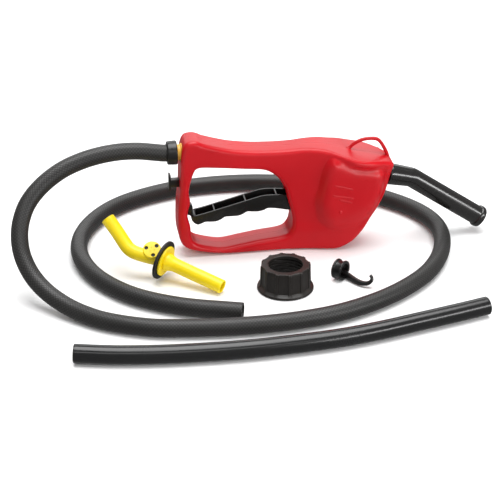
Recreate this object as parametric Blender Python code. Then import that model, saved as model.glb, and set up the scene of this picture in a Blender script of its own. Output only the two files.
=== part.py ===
"""Trigger-handled siphon pump: a clam-shell housing with a pump bulb inside, its suction hose and its
loose fittings.

Metres. +X runs from the hose end of the handle to the spout and +Z is up. The housing's flat foot stands
on Z = 0. The near shell is the -Y one.
"""

import math

import bmesh
import bpy
import numpy as np
from mathutils import Matrix, Vector
from mathutils.geometry import delaunay_2d_cdt

GAP = 0.0003
CUT = 0.004  # how far a cutter runs past what it cuts
CURVE_STEPS = 12

# Housing, seen from the side: a smooth closed curve through (X, Z).
HOUSING_OUTLINE = [
    (-0.1245, 0.146), (-0.1195, 0.155), (-0.108, 0.1565), (-0.0985, 0.1525), (-0.080, 0.1465),
    (-0.061, 0.1417), (-0.036, 0.1383), (-0.011, 0.137), (0.010, 0.137), (0.030, 0.1378),
    (0.050, 0.1362), (0.071, 0.1305), (0.090, 0.1242), (0.110, 0.1200), (0.129, 0.1145),
    (0.1400, 0.1075), (0.1376, 0.0974), (0.1343, 0.084), (0.1297, 0.069), (0.121, 0.053),
    (0.111, 0.039), (0.099, 0.022), (0.086, 0.0085), (0.067, 0.0), (0.045, 0.0), (0.0, 0.0),
    (-0.040, 0.0), (-0.067, 0.0), (-0.086, 0.002), (-0.105, 0.0058), (-0.119, 0.0105),
    (-0.1275, 0.019), (-0.131, 0.033), (-0.1314, 0.050), (-0.1305, 0.070), (-0.128, 0.092),
    (-0.1272, 0.112), (-0.1262, 0.132),
]
# Hand window, the same way.
WINDOW_OUTLINE = [
    (-0.110, 0.116), (-0.103, 0.1203), (-0.085, 0.1191), (-0.066, 0.1171), (-0.048, 0.115),
    (-0.029, 0.113), (-0.020, 0.1105), (-0.012, 0.1055), (-0.004, 0.097), (0.003, 0.084),
    (0.0063, 0.069), (0.0102, 0.055), (0.0127, 0.038), (0.0093, 0.0255), (0.000, 0.019),
    (-0.029, 0.0155), (-0.052, 0.012), (-0.076, 0.0088), (-0.098, 0.0134), (-0.1105, 0.0187),
    (-0.1148, 0.026), (-0.1162, 0.042), (-0.1192, 0.052), (-0.1186, 0.063), (-0.1158, 0.074),
    (-0.1172, 0.086), (-0.1158, 0.098),
]
# Foot of the bulge over the bulb, on both flanks.
BULGE_OUTLINE = [
    (0.0445, 0.088), (0.0480, 0.106), (0.0525, 0.119), (0.0590, 0.1260), (0.0680, 0.1245),
    (0.0790, 0.1190), (0.0900, 0.1140), (0.1050, 0.1115), (0.1180, 0.1095), (0.1255, 0.1035),
    (0.1270, 0.093), (0.1250, 0.076), (0.1180, 0.059), (0.106, 0.0425), (0.085, 0.030),
    (0.060, 0.030), (0.0455, 0.042), (0.0405, 0.060), (0.0405, 0.072),
]
WALL = 0.0025
SEAM_Y = 0.0015
GRIP_HALF_WIDTH = 0.019
BODY_HALF_WIDTH = 0.027
NOSE_HALF_WIDTH = 0.012
SKIRT_FLARE, BROW_FLARE = 0.0015, 0.009
BULGE_HALF_WIDTH, BULGE_SHOULDER, BULGE_SKIRT, BULGE_FOOT = 0.035, 0.013, 0.027, 0.0015
EDGE_ROUND, BROW_ROUND = 0.006, 0.0045
OUTLINE_STEP = 0.0122
GRID_STEP = 0.0125

# Screws, all from the far side: (X, Z).
SCREW_PLACES = [
    (-0.1205, 0.0215), (-0.104, 0.1487), (0.013, 0.106), (0.022, 0.020), (0.078, 0.028),
    (0.118, 0.063), (0.1262, 0.1098),
]
SCREW_SEAT_Y, SCREW_TIP_Y, SCREW_POINT = 0.0125, -0.0075, 0.002
SCREW_SHANK_R, SCREW_HEAD_R, SCREW_HEAD_H = 0.0015, 0.0028, 0.002
BOSS_R, SCREW_HOLE_R, COUNTERBORE_R = 0.0048, 0.0018, 0.0032
BOSS_SKIN = 0.0012

# Hang loop, moulded on the far shell.
LOOP_Y, LOOP_R = 0.0040, 0.0020
LOOP_ROUTE = [
    (0.0852, 0.1244), (0.0877, 0.1265), (0.0923, 0.1305), (0.0996, 0.1343), (0.1069, 0.1360),
    (0.1143, 0.1362), (0.1217, 0.1348), (0.1266, 0.1302), (0.1305, 0.1237), (0.1340, 0.1166),
    (0.1365, 0.1090),
]

# Trigger: pivot, side profile and channel.
PIVOT = Vector((0.028, 0.0, 0.068))
TRIGGER_HALF_WIDTH = 0.0105
TRIGGER_TOP = [
    (-0.1135, 0.0525), (-0.0995, 0.0552), (-0.089, 0.0578), (-0.0705, 0.0626), (-0.0515, 0.0676),
    (-0.0326, 0.0725), (-0.024, 0.0744), (-0.014, 0.0747), (-0.001, 0.0737), (0.008, 0.0723),
    (0.016, 0.072),
]
TRIGGER_UNDER = [
    (0.017, 0.060), (0.010, 0.053), (-0.0026, 0.055), (-0.0105, 0.0565), (-0.018, 0.0570),
    (-0.0235, 0.0547), (-0.030, 0.0535), (-0.0370, 0.0538), (-0.044, 0.0543), (-0.0500, 0.0512),
    (-0.056, 0.0495), (-0.064, 0.0494), (-0.072, 0.0492), (-0.077, 0.0462), (-0.083, 0.0440),
    (-0.089, 0.0438), (-0.096, 0.0442), (-0.1015, 0.0425), (-0.106, 0.0412), (-0.1105, 0.0435),
    (-0.1135, 0.0472),
]
RIM, CHANNEL_DEPTH = 0.0022, 0.0085
RIB_PLACES = [-0.085, -0.046, -0.007]
RIB = 0.0016
TAB_HALF_WIDTH, TAB_BOX = 0.004, ((-0.1185, 0.053), (-0.1115, 0.066))
HUB_R, HUB_HALF_WIDTH, PIN_R, PIN_HALF_LENGTH = 0.008, 0.005, 0.003, 0.0160
ARM_TOP, ARM_FRONT, ARM_BACK = 0.027, 0.0042, 0.004
PIVOT_BOSS_R, PIVOT_BOSS_Y, PIN_END_PLAY, GUIDE_LIP = 0.006, 0.0125, 0.0005, 0.0015

# Trigger lock slide in the rear post.
LOCK_Z, LOCK_HALF_WIDTH = (0.092, 0.1015), 0.0046
LOCK_NOSE_TOP, LOCK_NOSE_X, LOCK_SHOULDER_X, LOCK_PLATE_X = 0.0985, -0.1205, -0.1235, -0.138
LOCK_PLATE_T, LOCK_PLATE_Z = 0.0025, (0.087, 0.108)

# Slots through the shells: lowest and highest (X, Z), and half the width.
HOUSING_SLOTS = {
    "trigger_slot": ((-0.012, 0.0495), (0.0165, 0.0925), 0.0115),
    "tab_slot": ((-0.1235, 0.044), (-0.1020, 0.1185), TAB_HALF_WIDTH + 0.001),
    "lock_slot": ((-0.136, LOCK_Z[0] - GAP), (-0.1225, LOCK_Z[1] + GAP), LOCK_HALF_WIDTH + GAP),
}

# Pump train along the bulb's axis, which runs along X at this height.
BULB_Z = 0.085
ROD_R, ROD_BACK_X, ROD_DISC_X, ROD_DISC_R, ROD_DISC_T = 0.004, 0.0327, 0.0495, 0.015, 0.003
GUIDE_X, GUIDE_T, GUIDE_HALF_WIDTH, GUIDE_Z = 0.043, 0.003, 0.0190, (0.069, 0.101)
BULB_BACK_X, BULB_FRONT_X, BULB_R, BULB_WALL = 0.053, 0.1025, 0.0205, 0.0025
NECK_R, NECK_END_X = 0.008, 0.1085
VALVE_X, VALVE_Z, VALVE_HALF_WIDTH = (0.103, 0.1230), (0.074, 0.1025), 0.012
INLET_X, INLET_SOCKET_R, INLET_SOCKET_Z = 0.1105, 0.0066, 0.097
TUBE_R, TUBE_BORE_R = 0.0062, 0.0046

# Spout: centreline of its outer part, and its sizes.
SPOUT_ROOT = Vector((0.1195, 0.0, 0.0921))
SPOUT_ELBOW = Vector((0.1662, 0.0, 0.0810))
SPOUT_TIP = Vector((0.2602, 0.0, 0.0165))
SPOUT_NECK_R, SPOUT_BASE_R, SPOUT_R, SPOUT_LIP_R = 0.0105, 0.0138, 0.0124, 0.0141
SPOUT_BORE_R, SPOUT_PLUG_R, SPOUT_BASE_START = 0.0100, 0.0078, 0.0172
SPOUT_FLANGE_R, SPOUT_BEND, SPOUT_LIP = 0.0118, 0.009, 0.0075
SPOUT_PLUG_LENGTH, SPOUT_FLANGE_T, SPOUT_PLUG_BORE_R, SPOUT_THROAT_R = 0.0075, 0.0025, 0.0058, 0.0070
FRONT_HOLE = (0.0108, 0.045)

# Rear hose fitting, ferrule and hose.
HOSE_Z = 0.137
REAR_HOLE_X = (-0.150, -0.1165)
FITTING_R, FITTING_FLANGE_R, FITTING_BACK_X, FITTING_FRONT_X = 0.0112, 0.0119, -0.1296, -0.109
FITTING_FLANGE_X = (-0.1154, -0.1126)
FERRULE_X, FERRULE_R, FERRULE_BORE_R = (-0.142, -0.1298), (0.0143, 0.0152), 0.0109
HOSE_R, HOSE_STEP = 0.0105, 0.044
HOSE_ROUTE = [
    (-0.1330, 0.0, 0.137), (-0.1450, 0.0, 0.1372), (-0.1590, 0.0, 0.1395), (-0.1765, -0.0002, 0.1423),
    (-0.1990, -0.0015, 0.1436), (-0.2240, -0.0045, 0.1422), (-0.2490, -0.0090, 0.1378),
    (-0.2740, -0.0160, 0.1298), (-0.2980, -0.0265, 0.1165), (-0.3155, -0.0390, 0.1010),
    (-0.3252, -0.0530, 0.0838), (-0.3283, -0.0675, 0.0668), (-0.3255, -0.0830, 0.0500),
    (-0.3158, -0.1010, 0.0338), (-0.3000, -0.1200, 0.0212), (-0.2780, -0.1425, 0.0132),
    (-0.2550, -0.1640, 0.0108), (-0.2330, -0.1805, 0.0107), (-0.2000, -0.1965, 0.0107),
    (-0.1660, -0.2060, 0.0107), (-0.0970, -0.2140, 0.0107), (-0.0270, -0.2130, 0.0107),
    (0.0410, -0.2000, 0.0107), (0.1075, -0.1680, 0.0107), (0.1620, -0.1200, 0.0107),
    (0.1950, -0.0585, 0.0107), (0.2020, 0.0040, 0.0107), (0.1760, 0.0615, 0.0107),
    (0.1150, 0.1175, 0.0107), (0.0335, 0.1525, 0.0107), (-0.0460, 0.1645, 0.0107),
    (-0.1240, 0.1550, 0.0107), (-0.1940, 0.1210, 0.0107), (-0.2380, 0.0660, 0.0107),
    (-0.2540, 0.0030, 0.0107), (-0.2410, -0.0630, 0.0107), (-0.2030, -0.1190, 0.0107),
    (-0.1480, -0.1560, 0.0107), (-0.0775, -0.1810, 0.0107),
]

# Inlet tube through the grip, from the fitting to the valve body.
INLET_ROUTE = [
    (-0.1120, 0.137), (-0.106, 0.137), (-0.098, 0.1362), (-0.085, 0.1322), (-0.060, 0.1288),
    (-0.030, 0.1250), (0.0, 0.1240), (0.030, 0.1240), (0.060, 0.1215), (0.078, 0.1178), (0.092, 0.1142),
    (0.1031, 0.1112), (0.1062, 0.1097), (0.1087, 0.1072), (0.1102, 0.1041), (INLET_X, 0.1012),
]

# Loose fittings: places on the table.
COLLAR_PLACE = Vector((-0.014, -0.113, 0.0))
COLLAR_H, COLLAR_FLANGE_R, COLLAR_R, COLLAR_RIB = 0.032, 0.0345, 0.0298, 0.0014
COLLAR_HOLE_R, COLLAR_BORE_R, COLLAR_RIBS = 0.0207, 0.0262, 12

ADAPTER_TIP = Vector((-0.092, -0.1155, 0.0092))
ADAPTER_FLANGE = Vector((-0.1530, -0.0700, 0.0248))
ADAPTER_ROUTE = [
    (-0.1750, -0.0612, 0.0290), (-0.1895, -0.0560, 0.0328), (-0.1968, -0.0515, 0.0365),
    (-0.2015, -0.0455, 0.0420), (-0.2073, -0.0375, 0.0503), (-0.2132, -0.0302, 0.0582),
    (-0.2185, -0.0240, 0.0650),
]
ADAPTER_R, ADAPTER_BORE_R, ADAPTER_FLANGE_R, ADAPTER_FLANGE_T = 0.0085, 0.0065, 0.0190, 0.0028
GASKET_R, GASKET_BORE_R, GASKET_T = 0.0246, 0.0101, 0.003
VENT_PLACE, VENT_AXIS = Vector((-0.1700, -0.0645, 0.0400)), Vector((-0.10, -0.60, 0.79))
VENT_R, VENT_HEIGHT, VENT_HOLE_R, VENT_HOLE_CIRCLE = 0.0112, 0.0085, 0.0025, 0.0074

CLIP_PLACE, CLIP_ALONG = Vector((0.058, -0.097, 0.0122)), Vector((0.72, -0.69, 0.0)).normalized()
CLIP_R, CLIP_WALL, CLIP_WIDTH, CLIP_RIM, CLIP_MOUTH = 0.0088, 0.0018, 0.0105, 0.0016, 36
CLIP_MOUTH_SIDE = (0.45, 0.47, -0.76)
HOOK_ROUTE = [
    (0.0590, -0.0965, 0.0050), (0.0645, -0.1044, 0.0047), (0.0702, -0.1150, 0.0043),
    (0.0758, -0.1230, 0.0042), (0.0811, -0.1275, 0.0047), (0.0858, -0.1295, 0.0064),
    (0.0889, -0.1295, 0.0095), (0.0893, -0.1278, 0.0128), (0.0879, -0.1258, 0.0144),
]
HOOK_HALF_WIDTH, HOOK_HALF_THICK = (0.0030, 0.0017), (0.0042, 0.0018)

DIP_R, DIP_BORE_R = 0.011, 0.0085
DIP_ROUTE = [
    (-0.280, -0.2460), (-0.235, -0.2565), (-0.185, -0.2635), (-0.135, -0.2670), (-0.083, -0.2680),
    (-0.030, -0.2655), (0.023, -0.2605), (0.073, -0.2510), (0.122, -0.2385), (0.168, -0.2265),
    (0.209, -0.2150),
]


def smoothstep(low, high, value):
    t = min(max((value - low) / (high - low), 0.0), 1.0)
    return t * t * (3 - 2 * t)


def curve_points(points, closed=False, steps=CURVE_STEPS):
    """Points along a smooth Catmull-Rom curve through the given ones."""
    knots = [np.array(p, float) for p in points]
    if closed:
        knots = [knots[-1], *knots, knots[0], knots[1]]
    else:
        knots = [2 * knots[0] - knots[1], *knots, 2 * knots[-1] - knots[-2]]
    found = []
    for before, start, end, after in zip(knots, knots[1:], knots[2:], knots[3:]):
        for step in range(steps):
            t = step / steps
            found.append(
                0.5
                * (
                    2 * start
                    + (end - before) * t
                    + (2 * before - 5 * start + 4 * end - after) * t**2
                    + (3 * start - before - 3 * end + after) * t**3
                )
            )
    if not closed:
        found.append(knots[-2])
    return np.array(found)


def resampled(points, spacing, closed=False):
    """The same line with evenly spaced points."""
    line = np.vstack([points, points[:1]]) if closed else points
    along = np.r_[0, np.cumsum(np.linalg.norm(np.diff(line, axis=0), axis=1))]
    count = max(3, round(along[-1] / spacing))
    places = np.linspace(0, along[-1], count + 1)
    if closed:
        places = places[:-1]
    return np.stack([np.interp(places, along, line[:, i]) for i in range(line.shape[1])], axis=1)


def signed_area(loop):
    x, z = loop[:, 0], loop[:, 1]
    return 0.5 * float(np.sum(x * np.roll(z, -1) - z * np.roll(x, -1)))


def inside(loop, x, z):
    """Whether each point (x, z) lies inside the closed loop."""
    found = np.zeros(np.shape(x), bool)
    for (x0, z0), (x1, z1) in zip(loop, np.roll(loop, -1, axis=0)):
        if z0 != z1:
            found ^= ((z0 > z) != (z1 > z)) & (x < (x1 - x0) * (z - z0) / (z1 - z0) + x0)
    return found


def encloses(loop, x, z):
    return inside(loop, np.array([x]), np.array([z]))[0]


def loop_distance(loop, x, z):
    """Distance from (x, z) to the closed loop."""
    start, end = loop, np.roll(loop, -1, axis=0)
    along = end - start
    t = ((x - start[:, 0]) * along[:, 0] + (z - start[:, 1]) * along[:, 1]) / (along**2).sum(axis=1)
    near = start + along * np.clip(t, 0, 1)[:, None]
    return float(np.hypot(near[:, 0] - x, near[:, 1] - z).min())


def housing_loop(points):
    loop = curve_points(points, closed=True)
    loop[:, 1] = np.maximum(loop[:, 1], 0.0)
    return loop


OUTLINE = housing_loop(HOUSING_OUTLINE)
WINDOW = housing_loop(WINDOW_OUTLINE)
BULGE = housing_loop(BULGE_OUTLINE)


def brow(x, z):
    """How much of the ridge above the bulge is there at (x, z)."""
    below = smoothstep(0.006, 0.014, loop_distance(OUTLINE, x, z))
    return smoothstep(0.055, 0.092, x) * smoothstep(0.088, 0.104, z) * (1 - below)


def half_width(x, z):
    """Half the housing's width at (x, z), before its edges are rounded."""
    width = GRIP_HALF_WIDTH + (BODY_HALF_WIDTH - GRIP_HALF_WIDTH) * smoothstep(0.012, 0.075, x)
    width += BROW_FLARE * brow(x, z)
    width -= (width - NOSE_HALF_WIDTH) * smoothstep(0.098, 0.158, x)
    width += SKIRT_FLARE * smoothstep(0.0, 0.020, x) * (1 - smoothstep(0.024, 0.042, z))
    distance = loop_distance(BULGE, x, z)
    if not encloses(BULGE, x, z):
        distance = -distance
    reach = BULGE_SHOULDER + (BULGE_SKIRT - BULGE_SHOULDER) * (1 - smoothstep(0.050, 0.095, z))
    short = 1 - min(max((distance + BULGE_FOOT) / reach, 0.0), 1.0)
    rise = max(BULGE_HALF_WIDTH - width, 0.0)
    return width + rise * math.sqrt(1 - short**2) * (1 - short**4)


def edge_rounding(x, z):
    """How far the rounded edge reaches across the housing, and how deep in from its outline."""
    deep = EDGE_ROUND + (BROW_ROUND - EDGE_ROUND) * smoothstep(0.045, 0.085, x) * smoothstep(0.098, 0.112, z)
    return min(deep, half_width(x, z) - 2 * WALL), deep


def skin(x, z):
    """Height of the outer surface above the middle plane at (x, z)."""
    across, deep = edge_rounding(x, z)
    depth = min(loop_distance(OUTLINE, x, z), loop_distance(WINDOW, x, z))
    t = min(depth / deep, 1.0)
    return half_width(x, z) - across + across * math.sqrt(1 - (1 - t) ** 2)


def material(name, color, roughness, metallic=0.0):
    found = bpy.data.materials.new(name)
    found.use_nodes = True
    shader = found.node_tree.nodes["Principled BSDF"]
    shader.inputs["Base Color"].default_value = (*color, 1.0)
    shader.inputs["Roughness"].default_value = roughness
    shader.inputs["Metallic"].default_value = metallic
    return found


def add_object(name, mesh, look=None, parent=None):
    """Links a mesh as an object. A helper, with no look of its own, is hidden from renders."""
    shape = bpy.data.objects.new(name, mesh)
    bpy.context.scene.collection.objects.link(shape)
    if look is None:
        shape.hide_render = True
        shape.display_type = "WIRE"
    else:
        mesh.materials.append(look)
        mesh.set_sharp_from_angle(angle=math.radians(35))
    if parent is not None:
        shape.parent = parent
        shape.matrix_parent_inverse = parent.matrix_world.inverted()
    return shape


def mesh_from(name, vertices, faces, smooth=True):
    mesh = bpy.data.meshes.new(name)
    mesh.from_pydata([tuple(v) for v in vertices], [], [tuple(f) for f in faces])
    work = bmesh.new()
    work.from_mesh(mesh)
    bmesh.ops.remove_doubles(work, verts=work.verts, dist=1e-6)
    bmesh.ops.recalc_face_normals(work, faces=work.faces)
    for face in work.faces:
        face.smooth = smooth
    work.to_mesh(mesh)
    work.free()
    return mesh


def boolean(shape, other, operation="DIFFERENCE"):
    step = shape.modifiers.new(f"{operation.title()} {other.name}", "BOOLEAN")
    step.object = other
    step.operation = operation
    step.solver = "EXACT"


def frame_along(origin, axis, side=(0.0, 1.0, 0.0)):
    """A matrix whose Z runs along axis and whose X is as near to side as it can be."""
    z = Vector(axis).normalized()
    x = Vector(side) - z * Vector(side).dot(z)
    x = x.normalized() if x.length > 1e-6 else z.orthogonal().normalized()
    y = z.cross(x)
    return Matrix((
        (x.x, y.x, z.x, origin[0]), (x.y, y.y, z.y, origin[1]), (x.z, y.z, z.z, origin[2]), (0, 0, 0, 1),
    ))


def ring_faces(here, there, count):
    """The faces between two of the closed loops that a mesh is made of, each of count points."""
    here, there = here * count, there * count
    return [(here + i, there + i, there + (i + 1) % count, here + (i + 1) % count) for i in range(count)]


def turned(name, profile, sides, place, look=None, parent=None, hollow=True):
    """A (radius, height) profile turned about the Z axis of place: a ring, or a solid if not hollow."""
    vertices, faces = [], []
    for side in range(sides):
        angle = 2 * math.pi * side / sides
        for radius, height in profile:
            vertices.append(place @ Vector((radius * math.cos(angle), radius * math.sin(angle), height)))
    count = len(profile)
    for side in range(sides):
        here, there = side * count, (side + 1) % sides * count
        for i in range(count if hollow else count - 1):
            j = (i + 1) % count
            faces.append((here + i, there + i, there + j, here + j))
    return add_object(name, mesh_from(name, vertices, faces), look, parent)


def rod(name, radius, start, end, sides=16, look=None, parent=None):
    """A plain solid cylinder from start to end."""
    start, end = Vector(start), Vector(end)
    place = frame_along(start, end - start)
    length = (end - start).length
    ring = [(radius * math.cos(2 * math.pi * i / sides), radius * math.sin(2 * math.pi * i / sides))
            for i in range(sides)]
    vertices = [place @ Vector((x, y, h)) for h in (0.0, length) for x, y in ring]
    faces = [tuple(reversed(range(sides))), tuple(range(sides, 2 * sides))]
    faces += [(i, (i + 1) % sides, sides + (i + 1) % sides, sides + i) for i in range(sides)]
    return add_object(name, mesh_from(name, vertices, faces), look, parent)


def box(name, low, high, look=None, parent=None):
    corners = [(x, y, z) for x in (low[0], high[0]) for y in (low[1], high[1]) for z in (low[2], high[2])]
    faces = [(0, 1, 3, 2), (4, 6, 7, 5), (0, 4, 5, 1), (2, 3, 7, 6), (0, 2, 6, 4), (1, 5, 7, 3)]
    return add_object(name, mesh_from(name, corners, faces, smooth=False), look, parent)


def prism(name, outline, low_y, high_y, look=None, parent=None):
    """A side profile (X, Z) extruded along Y."""
    count = len(outline)
    vertices = [(x, y, z) for y in (low_y, high_y) for x, z in outline]
    faces = [tuple(range(count)), tuple(range(count, 2 * count))]
    faces += [(i, (i + 1) % count, count + (i + 1) % count, count + i) for i in range(count)]
    return add_object(name, mesh_from(name, vertices, faces, smooth=False), look, parent)


def sweep(name, stations, sides, look=None, parent=None, section=None):
    """A tube along (point, radius, bore radius) stations, solid if the bore is 0.

    section gives each station's own outline instead of a circle.
    """
    points = [Vector(s[0]) for s in stations]
    up = Vector((0.0, 0.0, 1.0))
    rings, bores = [], []
    for i, (point, radius, bore) in enumerate(stations):
        along = (points[min(i + 1, len(points) - 1)] - points[max(i - 1, 0)]).normalized()
        across = up.cross(along) if abs(along.z) < 0.9 else Vector((0.0, 1.0, 0.0)).cross(along)
        across = across.normalized()
        rise = along.cross(across)
        ring = section[i] if section else [
            (math.cos(2 * math.pi * k / sides), math.sin(2 * math.pi * k / sides)) for k in range(sides)
        ]
        rings.append([points[i] + (across * a + rise * b) * radius for a, b in ring])
        bores.append([points[i] + (across * a + rise * b) * bore for a, b in ring])
    loops = rings + bores[::-1] if stations[0][2] > 0 else rings
    count = len(rings[0])
    vertices = [v for loop in loops for v in loop]
    faces = []
    total = len(loops)
    for k in range(total if stations[0][2] > 0 else total - 1):
        here, there = k * count, (k + 1) % total * count
        for i in range(count):
            j = (i + 1) % count
            faces.append((here + i, here + j, there + j, there + i))
    if stations[0][2] == 0:
        faces += [tuple(range(count)), tuple(range((total - 1) * count, total * count))]
    return add_object(name, mesh_from(name, vertices, faces), look, parent)


def empty(name, place):
    pivot = bpy.data.objects.new(name, None)
    pivot.location = place
    bpy.context.scene.collection.objects.link(pivot)
    bpy.context.view_layer.update()
    return pivot


def shell(name, side, look):
    """One half of the housing: its outer skin, given a wall inwards. side is -1 near, 1 far."""
    seam = SEAM_Y + side * GAP / 2
    loops = [resampled(OUTLINE, OUTLINE_STEP, closed=True), resampled(WINDOW, OUTLINE_STEP, closed=True)]
    loops[0][:, 1] = np.maximum(loops[0][:, 1], 0.0)
    flat, heights, borders = [], [], []
    for loop, inwards in zip(loops, (1, -1)):
        turn = inwards * (1 if signed_area(loop) > 0 else -1)
        first = len(flat)
        for x, z in loop:
            flat.append((x, z))
            heights.append(half_width(x, z) - edge_rounding(x, z)[0])
        borders.append(list(range(first, len(flat))))
        for (x, z), (bx, bz), (ax, az) in zip(loop, np.roll(loop, 1, axis=0), np.roll(loop, -1, axis=0)):
            length = math.hypot(ax - bx, az - bz)
            normal = (-(az - bz) / length * turn, (ax - bx) / length * turn)
            deep = edge_rounding(x, z)[1]
            for angle in (38, 90):
                inset = deep * (1 - math.cos(math.radians(angle)))
                px, pz = x + normal[0] * inset, z + normal[1] * inset
                depth = min(loop_distance(OUTLINE, px, pz), loop_distance(WINDOW, px, pz))
                if depth > 0.85 * inset:
                    flat.append((px, pz))
                    heights.append(skin(px, pz))
    low, high = OUTLINE.min(axis=0), OUTLINE.max(axis=0)
    for row, z in enumerate(np.arange(low[1], high[1], GRID_STEP * 0.87)):
        for x in np.arange(low[0] + row % 2 * GRID_STEP / 2, high[0], GRID_STEP):
            if not encloses(OUTLINE, x, z) or encloses(WINDOW, x, z):
                continue
            depth = min(loop_distance(OUTLINE, x, z), loop_distance(WINDOW, x, z))
            if depth > edge_rounding(x, z)[1] + 0.35 * GRID_STEP:
                flat.append((x, z))
                heights.append(skin(x, z))
    edges = [(a, b) for border in borders for a, b in zip(border, border[1:] + border[:1])]
    points, _, faces, origins, _, _ = delaunay_2d_cdt([Vector(p) for p in flat], edges, [], 0, 1e-7)
    heights = [heights[origin[0]] for origin in origins]
    centres = np.array([sum((points[i] for i in face), Vector((0, 0))) / len(face) for face in faces])
    kept = inside(loops[0], centres[:, 0], centres[:, 1]) & ~inside(loops[1], centres[:, 0], centres[:, 1])
    vertices = [(p.x, side * h, p.y) for p, h in zip(points, heights)]
    shown = [tuple(face) for face, keep in zip(faces, kept) if keep]
    where = {origin[0]: i for i, origin in enumerate(origins)}
    for border in borders:
        foot = len(vertices)
        vertices += [(flat[i][0], seam, flat[i][1]) for i in border]
        for k, i in enumerate(border):
            j = (k + 1) % len(border)
            shown.append((where[i], where[border[j]], foot + j, foot + k))
    mesh = mesh_from(name, vertices, shown)
    facing = sum(face.normal.y * face.area for face in mesh.polygons if abs(face.normal.y) > 0.9)
    if facing * side < 0:
        mesh.flip_normals()
    shape = add_object(name, mesh, look)
    wall = shape.modifiers.new("Wall", "SOLIDIFY")
    wall.thickness = WALL
    wall.offset = -1
    wall.use_even_offset = True
    return shape


def across(name, radius, place, start_y, end_y, sides=10):
    """A hidden cylinder along Y at (x, z), for a boss or a hole."""
    x, z = place
    return rod(name, radius, (x, start_y, z), (x, end_y, z), sides)


def fasten(near, far, look):
    """Screw bosses in both shells, their holes, and the screws."""
    for number, place in enumerate(SCREW_PLACES, 1):
        boss_end = skin(*place) - BOSS_SKIN
        boolean(near, across(f"near_boss_{number}", BOSS_R, place, SEAM_Y - GAP / 2, -boss_end), "UNION")
        boolean(far, across(f"far_boss_{number}", BOSS_R, place, SEAM_Y + GAP / 2, boss_end), "UNION")
    pilot_end = SCREW_TIP_Y - SCREW_POINT
    for number, place in enumerate(SCREW_PLACES, 1):
        outside = skin(*place) + CUT
        boolean(near, across(f"pilot_{number}", SCREW_HOLE_R, place, SEAM_Y + CUT, pilot_end, 8))
        boolean(far, across(f"clearance_{number}", SCREW_HOLE_R, place, SEAM_Y - CUT, SCREW_SEAT_Y + CUT, 8))
        boolean(far, across(f"counterbore_{number}", COUNTERBORE_R, place, SCREW_SEAT_Y, outside))
        x, z = place
        seat = SCREW_SEAT_Y + GAP
        profile = [
            (0.0, seat + SCREW_HEAD_H), (0.6 * SCREW_HEAD_R, seat + SCREW_HEAD_H),
            (SCREW_HEAD_R, seat + 0.5 * SCREW_HEAD_H), (SCREW_HEAD_R, seat), (SCREW_SHANK_R, seat),
            (SCREW_SHANK_R, SCREW_TIP_Y + SCREW_POINT), (0.0, SCREW_TIP_Y),
        ]
        place_matrix = frame_along((x, 0.0, z), (0.0, 1.0, 0.0), (1.0, 0.0, 0.0))
        turned(f"housing_screw_{number}", profile, 8, place_matrix, look, hollow=False)


def housing(red, steel):
    near = shell("housing_left", -1, red)
    far = shell("housing_right", 1, red)
    loop = [(Vector((x, LOOP_Y, z)), LOOP_R, 0.0) for x, z in LOOP_ROUTE]
    boolean(far, sweep("hang_loop", loop, 8), "UNION")
    fasten(near, far, steel)
    pivot = (PIVOT.x, PIVOT.z)
    boss_end = skin(*pivot) - BOSS_SKIN
    ahead = (SPOUT_ELBOW - SPOUT_ROOT).normalized()
    front, beyond = SPOUT_ROOT + ahead * FRONT_HOLE[0], SPOUT_ROOT + ahead * FRONT_HOLE[1]
    for shape, side in ((near, -1), (far, 1)):
        boss = across(f"pivot_boss_{side}", PIVOT_BOSS_R, pivot, side * PIVOT_BOSS_Y, side * boss_end, 12)
        boolean(shape, boss, "UNION")
        ends = side * (PIVOT_BOSS_Y - GUIDE_LIP), side * (PIN_HALF_LENGTH + PIN_END_PLAY)
        boolean(shape, across(f"pin_hole_{side}", PIN_R + GAP, pivot, *ends, 12))
        boolean(shape, rod(f"rear_hole_{side}", FITTING_R + GAP, *((x, 0, HOSE_Z) for x in REAR_HOLE_X)))
        boolean(shape, rod(f"front_hole_{side}", SPOUT_NECK_R + GAP, front, beyond))
        for slot, (low, high, half) in HOUSING_SLOTS.items():
            boolean(shape, box(f"{slot}_{side}", (low[0], -half, low[1]), (high[0], half, high[1])))
    return near, far


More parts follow.
